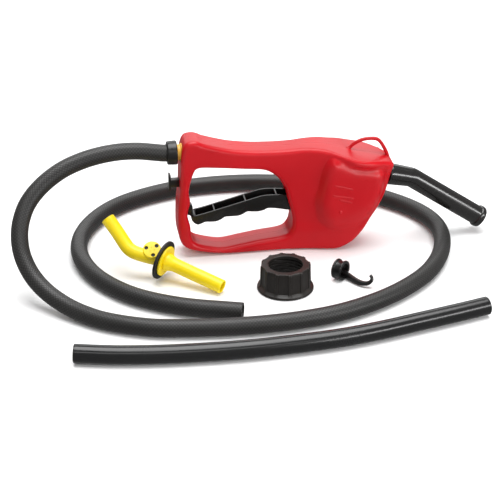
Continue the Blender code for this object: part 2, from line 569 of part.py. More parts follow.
def trigger(black):
    pivot = empty("trigger_axis", PIVOT)
    top = curve_points(TRIGGER_TOP, steps=2)
    under = curve_points(TRIGGER_UNDER, steps=2)
    outline = [tuple(point) for point in np.vstack([top, under])]
    body = prism("trigger", outline, -TRIGGER_HALF_WIDTH, TRIGGER_HALF_WIDTH, black, pivot)
    ends = [TRIGGER_TOP[0][0] + 0.004, *RIB_PLACES, TRIGGER_TOP[-1][0] - 0.006]
    for number, (start, end) in enumerate(zip(ends, ends[1:])):
        low, high = start + RIB / 2, end - RIB / 2
        places = [low, *[x for x in top[:, 0] if low + 0.002 < x < high - 0.002], high]
        floor = [(x, np.interp(x, top[:, 0], top[:, 1]) - CHANNEL_DEPTH) for x in places]
        above = [(high, floor[-1][1] + 0.02), (low, floor[0][1] + 0.02)]
        inner = TRIGGER_HALF_WIDTH - RIM
        boolean(body, prism(f"channel_{number}", floor + above, -inner, inner))
    x, z = PIVOT.x, PIVOT.z
    neck = [(0.012, 0.060), (0.012, 0.071), (x, z + 0.006), (x, z - 0.006)]
    boolean(body, prism("trigger_neck", neck, -HUB_HALF_WIDTH, HUB_HALF_WIDTH), "UNION")
    boolean(body, across("trigger_hub", HUB_R, (x, z), -HUB_HALF_WIDTH, HUB_HALF_WIDTH, 20), "UNION")
    arm = [
        (x - ARM_BACK, z), (x + ARM_FRONT, z), (x + ARM_FRONT, z + ARM_TOP - 0.003),
        (x + 0.002, z + ARM_TOP), (x - ARM_BACK + 0.001, z + ARM_TOP),
    ]
    boolean(body, prism("trigger_arm", arm, -HUB_HALF_WIDTH + 0.0005, HUB_HALF_WIDTH - 0.0005), "UNION")
    (low_x, low_z), (high_x, high_z) = TAB_BOX
    tab = [
        (low_x, low_z), (high_x, 0.0495), (high_x, high_z - 0.003), (high_x - 0.0015, high_z), (low_x, high_z),
    ]
    boolean(body, prism("trigger_tab", tab, -TAB_HALF_WIDTH, TAB_HALF_WIDTH), "UNION")
    boolean(body, across("pin_bore", PIN_R + GAP, (x, z), -0.02, 0.02, 12))
    return pivot


def trigger_fittings(steel):
    x, z = PIVOT.x, PIVOT.z
    rod("trigger_pin", PIN_R, (x, -PIN_HALF_LENGTH, z), (x, PIN_HALF_LENGTH, z), 12, steel)
    coil = bpy.data.curves.new("return_spring", "CURVE")
    coil.dimensions = "3D"
    coil.bevel_depth = 0.0008
    coil.bevel_resolution = 1
    coil.use_fill_caps = True
    turns, per_turn, radius, start_y, pitch = 3, 8, 0.0055, 0.0064, 0.0017
    route = [(x - 0.0092, start_y, z - 0.0085)]
    for step in range(turns * per_turn + 1):
        angle = 2 * math.pi * step / per_turn - math.pi / 2
        y = start_y + pitch * step / per_turn
        route.append((x + radius * math.cos(angle), y, z + radius * math.sin(angle)))
    route.append((x + 0.002, start_y + pitch * turns, z - 0.018))
    line = coil.splines.new("POLY")
    line.points.add(len(route) - 1)
    for point, place in zip(line.points, route):
        point.co = (*place, 1.0)
    spring = bpy.data.objects.new("return_spring", coil)
    bpy.context.scene.collection.objects.link(spring)
    coil.materials.append(steel)


def trigger_lock(black):
    low, high = LOCK_Z
    bottom, top = LOCK_PLATE_Z
    profile = [
        (LOCK_PLATE_X - LOCK_PLATE_T, bottom), (LOCK_PLATE_X, bottom), (LOCK_PLATE_X, low),
        (LOCK_NOSE_X, low), (LOCK_NOSE_X, LOCK_NOSE_TOP), (LOCK_SHOULDER_X, high),
        (LOCK_PLATE_X, high), (LOCK_PLATE_X, top), (LOCK_PLATE_X - LOCK_PLATE_T, top + 0.001),
    ]
    return prism("trigger_lock", profile, -LOCK_HALF_WIDTH, LOCK_HALF_WIDTH, black)


def along_x(x, z=BULB_Z):
    """The place of a piece turned about an axis that runs along +X at this height."""
    return frame_along((x, 0.0, z), (1.0, 0.0, 0.0))


def pump_train(rubber, nylon, blue):
    rod_profile = [
        (0.0, ROD_BACK_X), (ROD_R - 0.0008, ROD_BACK_X), (ROD_R, ROD_BACK_X + 0.0008), (ROD_R, ROD_DISC_X),
        (ROD_DISC_R, ROD_DISC_X), (ROD_DISC_R, ROD_DISC_X + ROD_DISC_T), (0.0, ROD_DISC_X + ROD_DISC_T),
    ]
    axis = empty("push_rod_axis", (ROD_BACK_X, 0.0, BULB_Z))
    turned("push_rod", rod_profile, 16, along_x(0.0), nylon, axis, hollow=False)
    guide = box("guide_plate", (GUIDE_X, -GUIDE_HALF_WIDTH, GUIDE_Z[0]),
                (GUIDE_X + GUIDE_T, GUIDE_HALF_WIDTH, GUIDE_Z[1]), nylon)
    boolean(guide, rod("guide_bore", ROD_R + GAP, (GUIDE_X - 0.001, 0, BULB_Z),
                       (GUIDE_X + GUIDE_T + 0.001, 0, BULB_Z), 20))
    half = (BULB_FRONT_X - BULB_BACK_X) / 2
    middle = BULB_BACK_X + half
    outer, inner = [], []
    first, last, steps, fullness = math.radians(165), math.radians(15), 6, 0.7
    for step in range(steps + 1):
        angle = first + (last - first) * step / steps
        reach, width = math.cos(angle) / math.cos(last), math.sin(angle) ** fullness
        outer.append((BULB_R * width, middle + half * reach))
        inner.append(((BULB_R - BULB_WALL) * width, middle + (half - BULB_WALL) * reach))
    profile = [(0.0, BULB_BACK_X), *outer, (NECK_R, BULB_FRONT_X + 0.002), (NECK_R, NECK_END_X),
               (NECK_R - BULB_WALL, NECK_END_X), (NECK_R - BULB_WALL, BULB_FRONT_X), *reversed(inner),
               (0.0, BULB_BACK_X + BULB_WALL)]
    turned("pump_bulb", profile, 16, along_x(0.0), rubber, hollow=False)

    body = box("valve_body", (VALVE_X[0], -VALVE_HALF_WIDTH, VALVE_Z[0]),
               (VALVE_X[1], VALVE_HALF_WIDTH, VALVE_Z[1]), nylon)
    ahead = (SPOUT_ELBOW - SPOUT_ROOT).normalized()
    boolean(body, rod("bulb_port", NECK_R + GAP, (0.10, 0, BULB_Z), (NECK_END_X + 0.0005, 0, BULB_Z), 16))
    boolean(body, rod("cross_channel", 0.004, (0.107, 0, BULB_Z), (0.1215, 0, BULB_Z), 12))
    socket_top = VALVE_Z[1] + CUT
    boolean(body, rod("inlet_socket", INLET_SOCKET_R, (INLET_X, 0, INLET_SOCKET_Z), (INLET_X, 0, socket_top)))
    boolean(body, rod("inlet_channel", 0.003, (INLET_X, 0, BULB_Z), (INLET_X, 0, 0.099), 12))
    boolean(body, rod("outlet_socket", SPOUT_PLUG_R + GAP, SPOUT_ROOT - ahead * 0.0021,
                      SPOUT_ROOT + ahead * 0.012, 16))
    flap = [
        (0.0, -0.0016), (0.0012, -0.0016), (0.0012, 0.0), (0.0050, 0.0), (0.0052, 0.0006), (0.0, 0.0014),
    ]
    seat = frame_along((INLET_X, 0, INLET_SOCKET_Z + GAP), (0, 0, 1))
    turned("inlet_valve", flap, 16, seat, blue, hollow=False)
    outlet = [(0.0, 0.0), (0.0068, 0.0), (0.0070, 0.0006), (0.0, 0.0012)]
    seat = frame_along(SPOUT_ROOT - ahead * 0.0018, ahead)
    turned("outlet_valve", outlet, 16, seat, blue, hollow=False)
    route = [(x, 0.0, z) for x, z in INLET_ROUTE]
    line = resampled(curve_points(route), 0.0045)
    sweep("inlet_tube", [(p, TUBE_R, TUBE_BORE_R) for p in line], 8, nylon)


def rear_fitting(yellow, black, rubber):
    nipple, bore = TUBE_BORE_R - 2 * GAP, 0.0030
    inner, outer = FITTING_FLANGE_X
    neck, neck_x = 0.0068, FITTING_BACK_X - 0.0030
    profile = [
        (bore, neck_x), (neck, neck_x), (neck, FITTING_BACK_X), (FITTING_R, FITTING_BACK_X), (FITTING_R, inner),
        (FITTING_FLANGE_R, inner), (FITTING_FLANGE_R, outer), (nipple, outer), (nipple, FITTING_FRONT_X),
        (bore, FITTING_FRONT_X),
    ]
    place = along_x(0.0, HOSE_Z)
    turned("hose_fitting", profile, 16, place, yellow)
    back, front = FERRULE_X
    ferrule = [
        (FERRULE_BORE_R, back), (FERRULE_R[0] - 0.0008, back), (FERRULE_R[0], back + 0.0008),
        (FERRULE_R[1], front - 0.0008), (FERRULE_R[1] - 0.0008, front), (FERRULE_BORE_R, front),
    ]
    turned("hose_ferrule", ferrule, 20, place, black)
    bore, outside = FITTING_R + GAP, FITTING_FLANGE_R - GAP / 2
    start, end = inner - 0.0015, inner - GAP
    turned("fitting_seal", [(bore, start), (outside, start), (outside, end), (bore, end)], 16, place, rubber)


def hose(look):
    coil = bpy.data.curves.new("suction_hose", "CURVE")
    coil.dimensions = "3D"
    coil.bevel_depth = HOSE_R
    coil.bevel_resolution = 3
    coil.use_fill_caps = True
    smooth = curve_points(HOSE_ROUTE, steps=CURVE_STEPS)
    points = [smooth[0], *resampled(smooth[CURVE_STEPS:], HOSE_STEP)]
    line = coil.splines.new("POLY")
    line.points.add(len(points) - 1)
    for point, place in zip(line.points, points):
        point.co = (*place, 1.0)
    tube = bpy.data.objects.new("suction_hose", coil)
    bpy.context.scene.collection.objects.link(tube)
    coil.materials.append(look)


def spout_centreline():
    """Straight, one round bend at the elbow, straight."""
    ahead = (SPOUT_ELBOW - SPOUT_ROOT).normalized()
    down = (SPOUT_TIP - SPOUT_ELBOW).normalized()
    start, end = SPOUT_ELBOW - ahead * SPOUT_BEND, SPOUT_ELBOW + down * SPOUT_BEND
    bend = [start.lerp(SPOUT_ELBOW, t).lerp(SPOUT_ELBOW.lerp(end, t), t) for t in (0, 0.25, 0.5, 0.75, 1)]
    return ahead, down, bend


def spout(black, rubber):
    ahead, down, bend = spout_centreline()
    plug_end = SPOUT_ROOT + ahead * SPOUT_PLUG_LENGTH
    flange_end = plug_end + ahead * SPOUT_FLANGE_T
    base, lip = SPOUT_ROOT + ahead * SPOUT_BASE_START, SPOUT_TIP - down * SPOUT_LIP
    step = 0.0001
    stations = [
        (SPOUT_ROOT, SPOUT_PLUG_R, SPOUT_PLUG_BORE_R), (plug_end, SPOUT_PLUG_R, SPOUT_PLUG_BORE_R),
        (plug_end + ahead * step, SPOUT_FLANGE_R, SPOUT_PLUG_BORE_R + step),
        (flange_end, SPOUT_FLANGE_R, SPOUT_THROAT_R),
        (flange_end + ahead * step, SPOUT_NECK_R, SPOUT_THROAT_R + step),
        (base, SPOUT_NECK_R, SPOUT_BORE_R - 0.0015), (base + ahead * 0.0008, SPOUT_BASE_R, SPOUT_BORE_R - 0.0014),
        *[(point, SPOUT_R, SPOUT_BORE_R) for point in bend],
        (lip - down * 0.0012, SPOUT_R, SPOUT_BORE_R), (lip, SPOUT_LIP_R, SPOUT_BORE_R),
        (SPOUT_TIP - down * 0.001, SPOUT_LIP_R, SPOUT_BORE_R), (SPOUT_TIP, SPOUT_LIP_R - 0.001, SPOUT_BORE_R),
    ]
    sweep("spout", stations, 16, black)
    seal = [(SPOUT_PLUG_R + GAP, 0.0), (0.0100, 0.0), (0.0100, 0.0010), (SPOUT_PLUG_R + GAP, 0.0010)]
    turned("spout_seal", seal, 16, frame_along(plug_end - ahead * 0.0012, ahead), rubber)


def collar(brown):
    axis = empty("cap_collar_axis", COLLAR_PLACE)
    rings = [
        (COLLAR_BORE_R, 0.0, 0), (COLLAR_FLANGE_R - 0.001, 0.0, 0), (COLLAR_FLANGE_R, 0.001, 0),
        (COLLAR_FLANGE_R - 0.0005, 0.0030, 0), (COLLAR_R, 0.0055, 1), (COLLAR_R - 0.0008, 0.0290, 1),
        (COLLAR_R - 0.0014, COLLAR_H, 1), (COLLAR_HOLE_R + 0.0008, COLLAR_H, 0),
        (COLLAR_HOLE_R, COLLAR_H - 0.0008, 0),
        (COLLAR_HOLE_R, 0.0285, 0), (COLLAR_BORE_R, 0.0275, 0),
    ]
    vertices, faces = [], []
    per_rib = 4
    sides = per_rib * COLLAR_RIBS
    for k in range(sides):
        angle = 2 * math.pi * k / sides
        for radius, height, ribbed in rings:
            r = radius + (COLLAR_RIB if ribbed and k % per_rib == 0 else 0.0)
            vertices.append(COLLAR_PLACE + Vector((r * math.cos(angle), r * math.sin(angle), height)))
    for k in range(sides):
        faces += ring_faces(k, (k + 1) % sides, len(rings))
    add_object("cap_collar", mesh_from("cap_collar", vertices, faces), brown, axis)


def can_adapter(yellow, rubber):
    axis = empty("can_adapter_axis", ADAPTER_FLANGE)
    back = (ADAPTER_FLANGE - ADAPTER_TIP).normalized()
    middle = ADAPTER_TIP.lerp(ADAPTER_FLANGE, 0.5)
    route = [ADAPTER_TIP, middle, ADAPTER_FLANGE, *map(Vector, ADAPTER_ROUTE)]
    line = resampled(curve_points(route), 0.0115)
    body = sweep("can_adapter", [(p, ADAPTER_R, ADAPTER_BORE_R) for p in line], 14, yellow, axis)
    root = ADAPTER_R - 0.001
    flange = [
        (root, 0.0), (ADAPTER_FLANGE_R - 0.0006, 0.0), (ADAPTER_FLANGE_R, 0.0008),
        (ADAPTER_FLANGE_R, ADAPTER_FLANGE_T), (root, ADAPTER_FLANGE_T),
    ]
    boolean(body, turned("adapter_flange", flange, 24, frame_along(ADAPTER_FLANGE, back)), "UNION")
    up = VENT_AXIS.normalized()
    boss = rod("vent_boss", VENT_R, VENT_PLACE - up * VENT_HEIGHT, VENT_PLACE, 20)
    boolean(body, boss, "UNION")
    bore_start, bore_end = ADAPTER_FLANGE - back * 0.01, ADAPTER_FLANGE + back * 0.018
    boolean(body, rod("adapter_bore", ADAPTER_BORE_R, bore_start, bore_end))
    place = frame_along(VENT_PLACE, up)
    for k in range(3):
        angle = math.radians(180 + 120 * k)
        centre = Vector((VENT_HOLE_CIRCLE * math.cos(angle), VENT_HOLE_CIRCLE * math.sin(angle), 0.0))
        start, end = place @ (centre - Vector((0, 0, CUT))), place @ (centre + Vector((0, 0, CUT)))
        boolean(body, rod(f"vent_hole_{k}", VENT_HOLE_R, start, end, 8))
    ring = [
        (GASKET_BORE_R, 0.0), (GASKET_R - 0.0006, 0.0), (GASKET_R, 0.0006), (GASKET_R, GASKET_T - 0.0006),
        (GASKET_R - 0.0006, GASKET_T), (GASKET_BORE_R, GASKET_T),
    ]
    place = frame_along(ADAPTER_FLANGE + back * (ADAPTER_FLANGE_T + GAP), back)
    turned("adapter_gasket", ring, 24, place, rubber, axis)


def hook_clip(black):
    axis = empty("hook_clip_axis", CLIP_PLACE)
    half, wall = CLIP_WIDTH / 2, CLIP_R + CLIP_WALL
    rim = wall + CLIP_RIM
    section = [
        (CLIP_R, -half), (rim, -half), (rim, -half + 0.002), (wall, -half + 0.0026),
        (wall, half - 0.0026), (rim, half - 0.002), (rim, half), (CLIP_R, half),
    ]
    place = frame_along(CLIP_PLACE, CLIP_ALONG, CLIP_MOUTH_SIDE)
    steps, count = 16, len(section)
    vertices, faces = [], []
    for step in range(steps + 1):
        angle = math.radians(CLIP_MOUTH / 2 + (360 - CLIP_MOUTH) * step / steps)
        vertices += [place @ Vector((r * math.cos(angle), r * math.sin(angle), h)) for r, h in section]
    for step in range(steps):
        faces += ring_faces(step, step + 1, count)
    faces += [tuple(range(count)), tuple(range(steps * count, (steps + 1) * count))]
    clip = add_object("hook_clip", mesh_from("hook_clip", vertices, faces), black, axis)
    line = resampled(curve_points(HOOK_ROUTE), 0.0045)
    (wide, narrow), (deep, shallow) = HOOK_HALF_WIDTH, HOOK_HALF_THICK
    strap, sections = [], []
    for k, point in enumerate(line):
        t = k / (len(line) - 1)
        width, thick = wide + (narrow - wide) * t**2, deep + (shallow - deep) * t
        corner, edge = 0.7 * width, 0.5 * thick
        strap.append((point, 1.0, 0.0))
        sections.append([
            (width, -edge), (width, edge), (corner, thick), (-corner, thick),
            (-width, edge), (-width, -edge), (-corner, -thick), (corner, -thick),
        ])
    boolean(clip, sweep("hook_strap", strap, 8, section=sections), "UNION")


def dip_tube(black):
    axis = empty("dip_tube_axis", (DIP_ROUTE[5][0], DIP_ROUTE[5][1], DIP_R))
    route = [(x, y, DIP_R + 0.0002) for x, y in DIP_ROUTE]
    line = resampled(curve_points(route), 0.045)
    sweep("dip_tube", [(p, DIP_R, DIP_BORE_R) for p in line], 14, black, axis)


def main():
    for thing in list(bpy.data.objects):
        bpy.data.objects.remove(thing)
    red = material("housing_red", (0.48, 0.0, 0.011), 0.32)
    black = material("black_plastic", (0.011, 0.011, 0.011), 0.35)
    hose_black = material("hose_rubber", (0.03, 0.03, 0.03), 0.6)
    brown = material("collar_plastic", (0.02, 0.017, 0.014), 0.5)
    yellow = material("yellow_plastic", (0.95, 0.78, 0.01), 0.35)
    rubber = material("black_rubber", (0.012, 0.012, 0.012), 0.7)
    nylon = material("natural_nylon", (0.72, 0.70, 0.62), 0.5)
    blue = material("valve_rubber", (0.05, 0.10, 0.30), 0.6)
    steel = material("zinc_steel", (0.55, 0.55, 0.56), 0.35, 1.0)

    housing(red, steel)
    trigger(black)
    trigger_fittings(steel)
    trigger_lock(black)
    pump_train(rubber, nylon, blue)
    rear_fitting(yellow, black, rubber)
    hose(hose_black)
    spout(black, rubber)
    collar(brown)
    can_adapter(yellow, rubber)
    hook_clip(black)
    dip_tube(black)


main()
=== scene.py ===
"""Looks of the trigger-handled siphon pump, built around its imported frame.

Metres. +X runs from the hose end of the handle to the spout, +Z is up, and the near side faces -Y.
"""

from math import copysign, cos, pi, radians, sin

import bmesh
import bpy
import numpy as np
from mathutils import Matrix, Vector
from mathutils.geometry import delaunay_2d_cdt


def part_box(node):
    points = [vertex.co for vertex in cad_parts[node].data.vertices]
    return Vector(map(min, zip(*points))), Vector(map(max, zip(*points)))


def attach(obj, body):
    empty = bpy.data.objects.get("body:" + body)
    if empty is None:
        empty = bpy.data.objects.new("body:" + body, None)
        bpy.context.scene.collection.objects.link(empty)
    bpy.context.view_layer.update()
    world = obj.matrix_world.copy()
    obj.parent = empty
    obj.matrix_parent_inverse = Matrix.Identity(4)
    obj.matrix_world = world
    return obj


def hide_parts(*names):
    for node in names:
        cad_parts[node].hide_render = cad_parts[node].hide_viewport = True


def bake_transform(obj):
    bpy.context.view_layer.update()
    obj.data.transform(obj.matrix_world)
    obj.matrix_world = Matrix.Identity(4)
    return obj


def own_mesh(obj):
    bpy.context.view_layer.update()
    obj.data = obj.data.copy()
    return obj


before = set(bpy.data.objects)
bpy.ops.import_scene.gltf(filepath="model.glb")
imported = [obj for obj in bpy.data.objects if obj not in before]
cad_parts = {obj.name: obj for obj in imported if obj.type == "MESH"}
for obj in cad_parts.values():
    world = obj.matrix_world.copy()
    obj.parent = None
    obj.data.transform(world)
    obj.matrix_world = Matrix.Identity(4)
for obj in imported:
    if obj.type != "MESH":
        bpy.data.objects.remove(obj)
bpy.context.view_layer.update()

GAP = 0.0003
UP = Vector((0.0, 0.0, 1.0))

# The hose's route, from its ferrule round the pump to its open end. The last stretch lies on the floor.
HOSE_R, HOSE_BORE_R, FLOOR_GAP = 0.0105, 0.008, 0.0002
HOSE_ROUTE = [
    (-0.133, 0.0, 0.137), (-0.145, 0.0, 0.1372), (-0.159, 0.0, 0.1395),
    (-0.1765, -0.0002, 0.1423), (-0.199, -0.0015, 0.1436), (-0.224, -0.0045, 0.1422),
    (-0.249, -0.009, 0.1378), (-0.274, -0.016, 0.1298), (-0.298, -0.0265, 0.1165),
    (-0.3155, -0.039, 0.101), (-0.3252, -0.053, 0.0838), (-0.3283, -0.0675, 0.0668),
    (-0.3255, -0.083, 0.05), (-0.3158, -0.101, 0.0338), (-0.3, -0.12, 0.0212),
    (-0.278, -0.1425, 0.0132), (-0.255, -0.164, 0.0108),
]
HOSE_ROUTE += [(x, y, HOSE_R + FLOOR_GAP) for x, y in (
    (-0.233, -0.1805), (-0.2, -0.1965), (-0.166, -0.206), (-0.097, -0.214),
    (-0.027, -0.213), (0.041, -0.2), (0.1075, -0.168), (0.162, -0.12), (0.195, -0.0585),
    (0.202, 0.004), (0.176, 0.0615), (0.115, 0.1175), (0.0335, 0.1525), (-0.046, 0.1645),
    (-0.124, 0.155), (-0.194, 0.121), (-0.238, 0.066), (-0.254, 0.003), (-0.241, -0.063),
    (-0.203, -0.119), (-0.148, -0.156), (-0.0775, -0.181),
)]

# Housing, seen from the side through (X, Z): outline, hand window and the foot of the bulge over the bulb.
HOUSING_OUTLINE = [
    (-0.1245, 0.146), (-0.1195, 0.155), (-0.108, 0.1565), (-0.0985, 0.1525), (-0.08, 0.1465),
    (-0.061, 0.1417), (-0.036, 0.1383), (-0.011, 0.137), (0.01, 0.137), (0.03, 0.1378),
    (0.05, 0.1362), (0.071, 0.1305), (0.09, 0.1242), (0.11, 0.12), (0.129, 0.1145),
    (0.14, 0.1075), (0.1376, 0.0974), (0.1343, 0.084), (0.1297, 0.069), (0.121, 0.053),
    (0.111, 0.039), (0.099, 0.022), (0.086, 0.0085), (0.067, 0.0), (0.045, 0.0), (0.0, 0.0),
    (-0.04, 0.0), (-0.067, 0.0), (-0.086, 0.002), (-0.105, 0.0058), (-0.119, 0.0105),
    (-0.1275, 0.019), (-0.131, 0.033), (-0.1314, 0.05), (-0.1305, 0.07), (-0.128, 0.092),
    (-0.1272, 0.112), (-0.1262, 0.132),
]
WINDOW_OUTLINE = [
    (-0.11, 0.116), (-0.103, 0.1203), (-0.085, 0.1191), (-0.066, 0.1171), (-0.048, 0.115),
    (-0.029, 0.113), (-0.02, 0.1105), (-0.012, 0.1055), (-0.004, 0.097), (0.003, 0.084),
    (0.0063, 0.069), (0.0102, 0.055), (0.0127, 0.038), (0.0093, 0.0255), (0.0, 0.019),
    (-0.029, 0.0155), (-0.052, 0.012), (-0.076, 0.0088), (-0.098, 0.0134), (-0.1105, 0.0187),
    (-0.1148, 0.026), (-0.1162, 0.042), (-0.1192, 0.052), (-0.1186, 0.063), (-0.1158, 0.074),
    (-0.1172, 0.086), (-0.1158, 0.098),
]
BULGE_OUTLINE = [
    (0.0445, 0.088), (0.048, 0.106), (0.0525, 0.119), (0.059, 0.126), (0.068, 0.1245),
    (0.079, 0.119), (0.09, 0.114), (0.105, 0.1115), (0.118, 0.1095), (0.1255, 0.1035),
    (0.127, 0.093), (0.125, 0.076), (0.118, 0.059), (0.106, 0.0425), (0.085, 0.03),
    (0.06, 0.03), (0.0455, 0.042), (0.0405, 0.06), (0.0405, 0.072),
]
WALL, SEAM_Y = 0.0025, 0.0015
GRIP_HALF_WIDTH, BODY_HALF_WIDTH, NOSE_HALF_WIDTH = 0.019, 0.027, 0.012
SKIRT_FLARE, BROW_FLARE = 0.0015, 0.009
BULGE_HALF_WIDTH, BULGE_SHOULDER, BULGE_SKIRT, BULGE_FOOT = 0.0352, 0.016, 0.027, 0.0015
EDGE_ROUND, BROW_ROUND = 0.006, 0.0045
# The two ends of each change in these widths and roundings, along X, up Z or in from the outline.
BODY_X, NOSE_X, SKIRT_X = (0.012, 0.075), (0.098, 0.158), (0.0, 0.02)
BROW_X, BROW_ROUND_X = (0.055, 0.092), (0.045, 0.085)
SKIRT_Z, BULGE_REACH_Z, BROW_Z, BROW_ROUND_Z = (0.024, 0.042), (0.05, 0.095), (0.088, 0.104), (0.098, 0.112)
BROW_DEPTH = (0.004, 0.016)
# Steps between the points that the skin is meshed through, and the rings of points round the bulge's foot.
EDGE_STEP, GRID_STEP, NEAR_FINE_STEP, FAR_FINE_STEP = 0.0028, 0.0026, 0.0008, 0.0011
BULGE_RINGS = (-0.0015, 0.0, 0.0015, 0.003, 0.0048, 0.0068, 0.0092, 0.012, 0.015)
# Plain moulded bars on the bulge, start and end (X, Z), the area round them and a pip below them.
BARS = [
    ((0.0619, 0.0928), (0.0829, 0.0867)), ((0.0601, 0.0794), (0.0843, 0.074)),
    ((0.0686, 0.073), (0.0824, 0.0684)),
]
BARS_X, BARS_Z = (0.058, 0.0865), (0.066, 0.095)
BAR_HALF_WIDTH, BAR_RISE = 0.0011, 0.0005
PIP, PIP_R, PIP_RISE = (0.0693, 0.0567), 0.0022, 0.0009
SCREW_PLACES = [
    (-0.1205, 0.0215), (-0.104, 0.1487), (0.013, 0.106), (0.022, 0.02), (0.078, 0.028),
    (0.118, 0.063), (0.1262, 0.1098),
]
SCREW_SEAT_Y, COUNTERBORE_R, BOSS_R = 0.0125, 0.0032, 0.0048
# Slots in the housing, each as its low and high corners, and the heights that the lock's catch lies between.
TRIGGER_SLOT = ((-0.012, -0.0115, 0.0495), (0.0165, 0.0115, 0.0925))
TAB_SLOT = ((-0.1235, -0.005, 0.044), (-0.102, 0.005, 0.1185))
LOCK_LOW, LOCK_HIGH = 0.092, 0.1015
LOCK_SLOT = ((-0.136, -0.0049, LOCK_LOW - GAP), (-0.1105, 0.0049, LOCK_HIGH + GAP))
LOOP_Y, LOOP_R = 0.004, 0.002
LOOP_ROUTE = [
    (0.0852, 0.1244), (0.0877, 0.1265), (0.0923, 0.1305), (0.0996, 0.1343), (0.1069, 0.136),
    (0.1143, 0.1362), (0.1217, 0.1348), (0.1266, 0.1302), (0.1305, 0.1237), (0.134, 0.1166),
    (0.1365, 0.109),
]

# Trigger, seen from the side.
PIVOT, PIN_R = Vector((0.028, 0.0, 0.068)), 0.003
TRIGGER_TOP = [
    (-0.1135, 0.0525), (-0.0995, 0.0552), (-0.089, 0.0578), (-0.0705, 0.0626), (-0.0515, 0.0676),
    (-0.0326, 0.0725), (-0.024, 0.0744), (-0.014, 0.0747), (-0.001, 0.0737), (0.008, 0.0723),
    (0.016, 0.072),
]
TRIGGER_UNDER = [
    (0.017, 0.06), (0.01, 0.053), (-0.0026, 0.055), (-0.0105, 0.0565), (-0.018, 0.057),
    (-0.0235, 0.0547), (-0.03, 0.0535), (-0.037, 0.0538), (-0.044, 0.0543), (-0.05, 0.0512),
    (-0.056, 0.0495), (-0.064, 0.0494), (-0.072, 0.0492), (-0.077, 0.0462), (-0.083, 0.044),
    (-0.089, 0.0438), (-0.096, 0.0442), (-0.1015, 0.0425), (-0.106, 0.0412), (-0.1105, 0.0435),
    (-0.1135, 0.0472),
]
TRIGGER_HALF_WIDTH, RIM, CHANNEL_DEPTH, RIB = 0.0105, 0.0022, 0.0085, 0.0016
RIB_PLACES = [-0.085, -0.046, -0.007]

# Pump train, spout and rear fitting.
BULB_Z, HOSE_Z = 0.085, 0.137
BULB_BACK_X, BULB_FRONT_X, BULB_R, BULB_WALL = 0.053, 0.1025, 0.0205, 0.0025
NECK_R, NECK_END_X = 0.008, 0.1085
INLET_R, INLET_BORE_R = 0.0062, 0.0046
INLET_ROUTE = [
    (-0.112, 0.137), (-0.106, 0.137), (-0.098, 0.1362), (-0.085, 0.1322), (-0.06, 0.1288),
    (-0.03, 0.125), (0.0, 0.124), (0.03, 0.124), (0.06, 0.1215), (0.078, 0.1178), (0.092, 0.1142),
    (0.1031, 0.1112), (0.1062, 0.1097), (0.1087, 0.1072), (0.1102, 0.1041), (0.1105, 0.1012),
]
SPOUT_ROOT, SPOUT_ELBOW = Vector((0.1195, 0, 0.0921)), Vector((0.1662, 0, 0.081))
SPOUT_TIP = Vector((0.2602, 0, 0.0165))
SPOUT_NECK_R, SPOUT_BASE_R, SPOUT_R, SPOUT_LIP_R = 0.0105, 0.0138, 0.0124, 0.0141
SPOUT_BORE_R, SPOUT_BASE_START, SPOUT_BEND = 0.01, 0.0172, 0.004
FITTING_R, FITTING_FLANGE_R, FERRULE_BORE_R = 0.0112, 0.0119, 0.0109

# Loose fittings.
ADAPTER_TIP, ADAPTER_FLANGE = Vector((-0.092, -0.1155, 0.0092)), Vector((-0.153, -0.07, 0.0248))
ADAPTER_ROUTE = [
    (-0.175, -0.0612, 0.029), (-0.1895, -0.056, 0.0328), (-0.1968, -0.0515, 0.0365),
    (-0.2015, -0.0455, 0.042), (-0.2073, -0.0375, 0.0503), (-0.2132, -0.0302, 0.0582),
    (-0.2185, -0.024, 0.065),
]
ADAPTER_R, ADAPTER_BORE_R, ADAPTER_FLANGE_R, ADAPTER_FLANGE_T = 0.0085, 0.0065, 0.019, 0.0028
VENT_PLACE, VENT_AXIS = Vector((-0.17, -0.0645, 0.04)), Vector((-0.1, -0.6, 0.79)).normalized()
VENT_R, VENT_HEIGHT, VENT_HOLE_R, VENT_HOLE_CIRCLE = 0.0112, 0.0085, 0.0025, 0.0074
GASKET_R, GASKET_BORE_R, GASKET_T = 0.0246, 0.0101, 0.003
CLIP_PLACE, CLIP_ALONG = Vector((0.0562, -0.1015, 0.0124)), Vector((0.72, -0.69, 0.0)).normalized()
CLIP_R, CLIP_WALL, CLIP_WIDTH, CLIP_RIM, CLIP_MOUTH = 0.0086, 0.002, 0.012, 0.0018, 36
CLIP_MOUTH_SIDE = (0.45, 0.47, -0.76)
HOOK_ROUTE = [
    (0.059, -0.0965, 0.005), (0.0645, -0.1044, 0.0047), (0.0702, -0.115, 0.0043),
    (0.0758, -0.123, 0.0042), (0.0811, -0.1275, 0.0047), (0.0858, -0.1295, 0.0064),
    (0.0889, -0.1295, 0.0095), (0.0893, -0.1278, 0.0128), (0.0879, -0.1258, 0.0144),
]
DIP_R, DIP_BORE_R = 0.011, 0.0085
DIP_ROUTE = [
    (-0.28, -0.246), (-0.235, -0.2565), (-0.185, -0.2635), (-0.135, -0.267), (-0.083, -0.268),
    (-0.03, -0.2655), (0.023, -0.2605), (0.073, -0.251), (0.122, -0.2385), (0.168, -0.2265),
    (0.209, -0.215),
]


# ---- Curves and meshes ----

CURVE_STEPS = 12


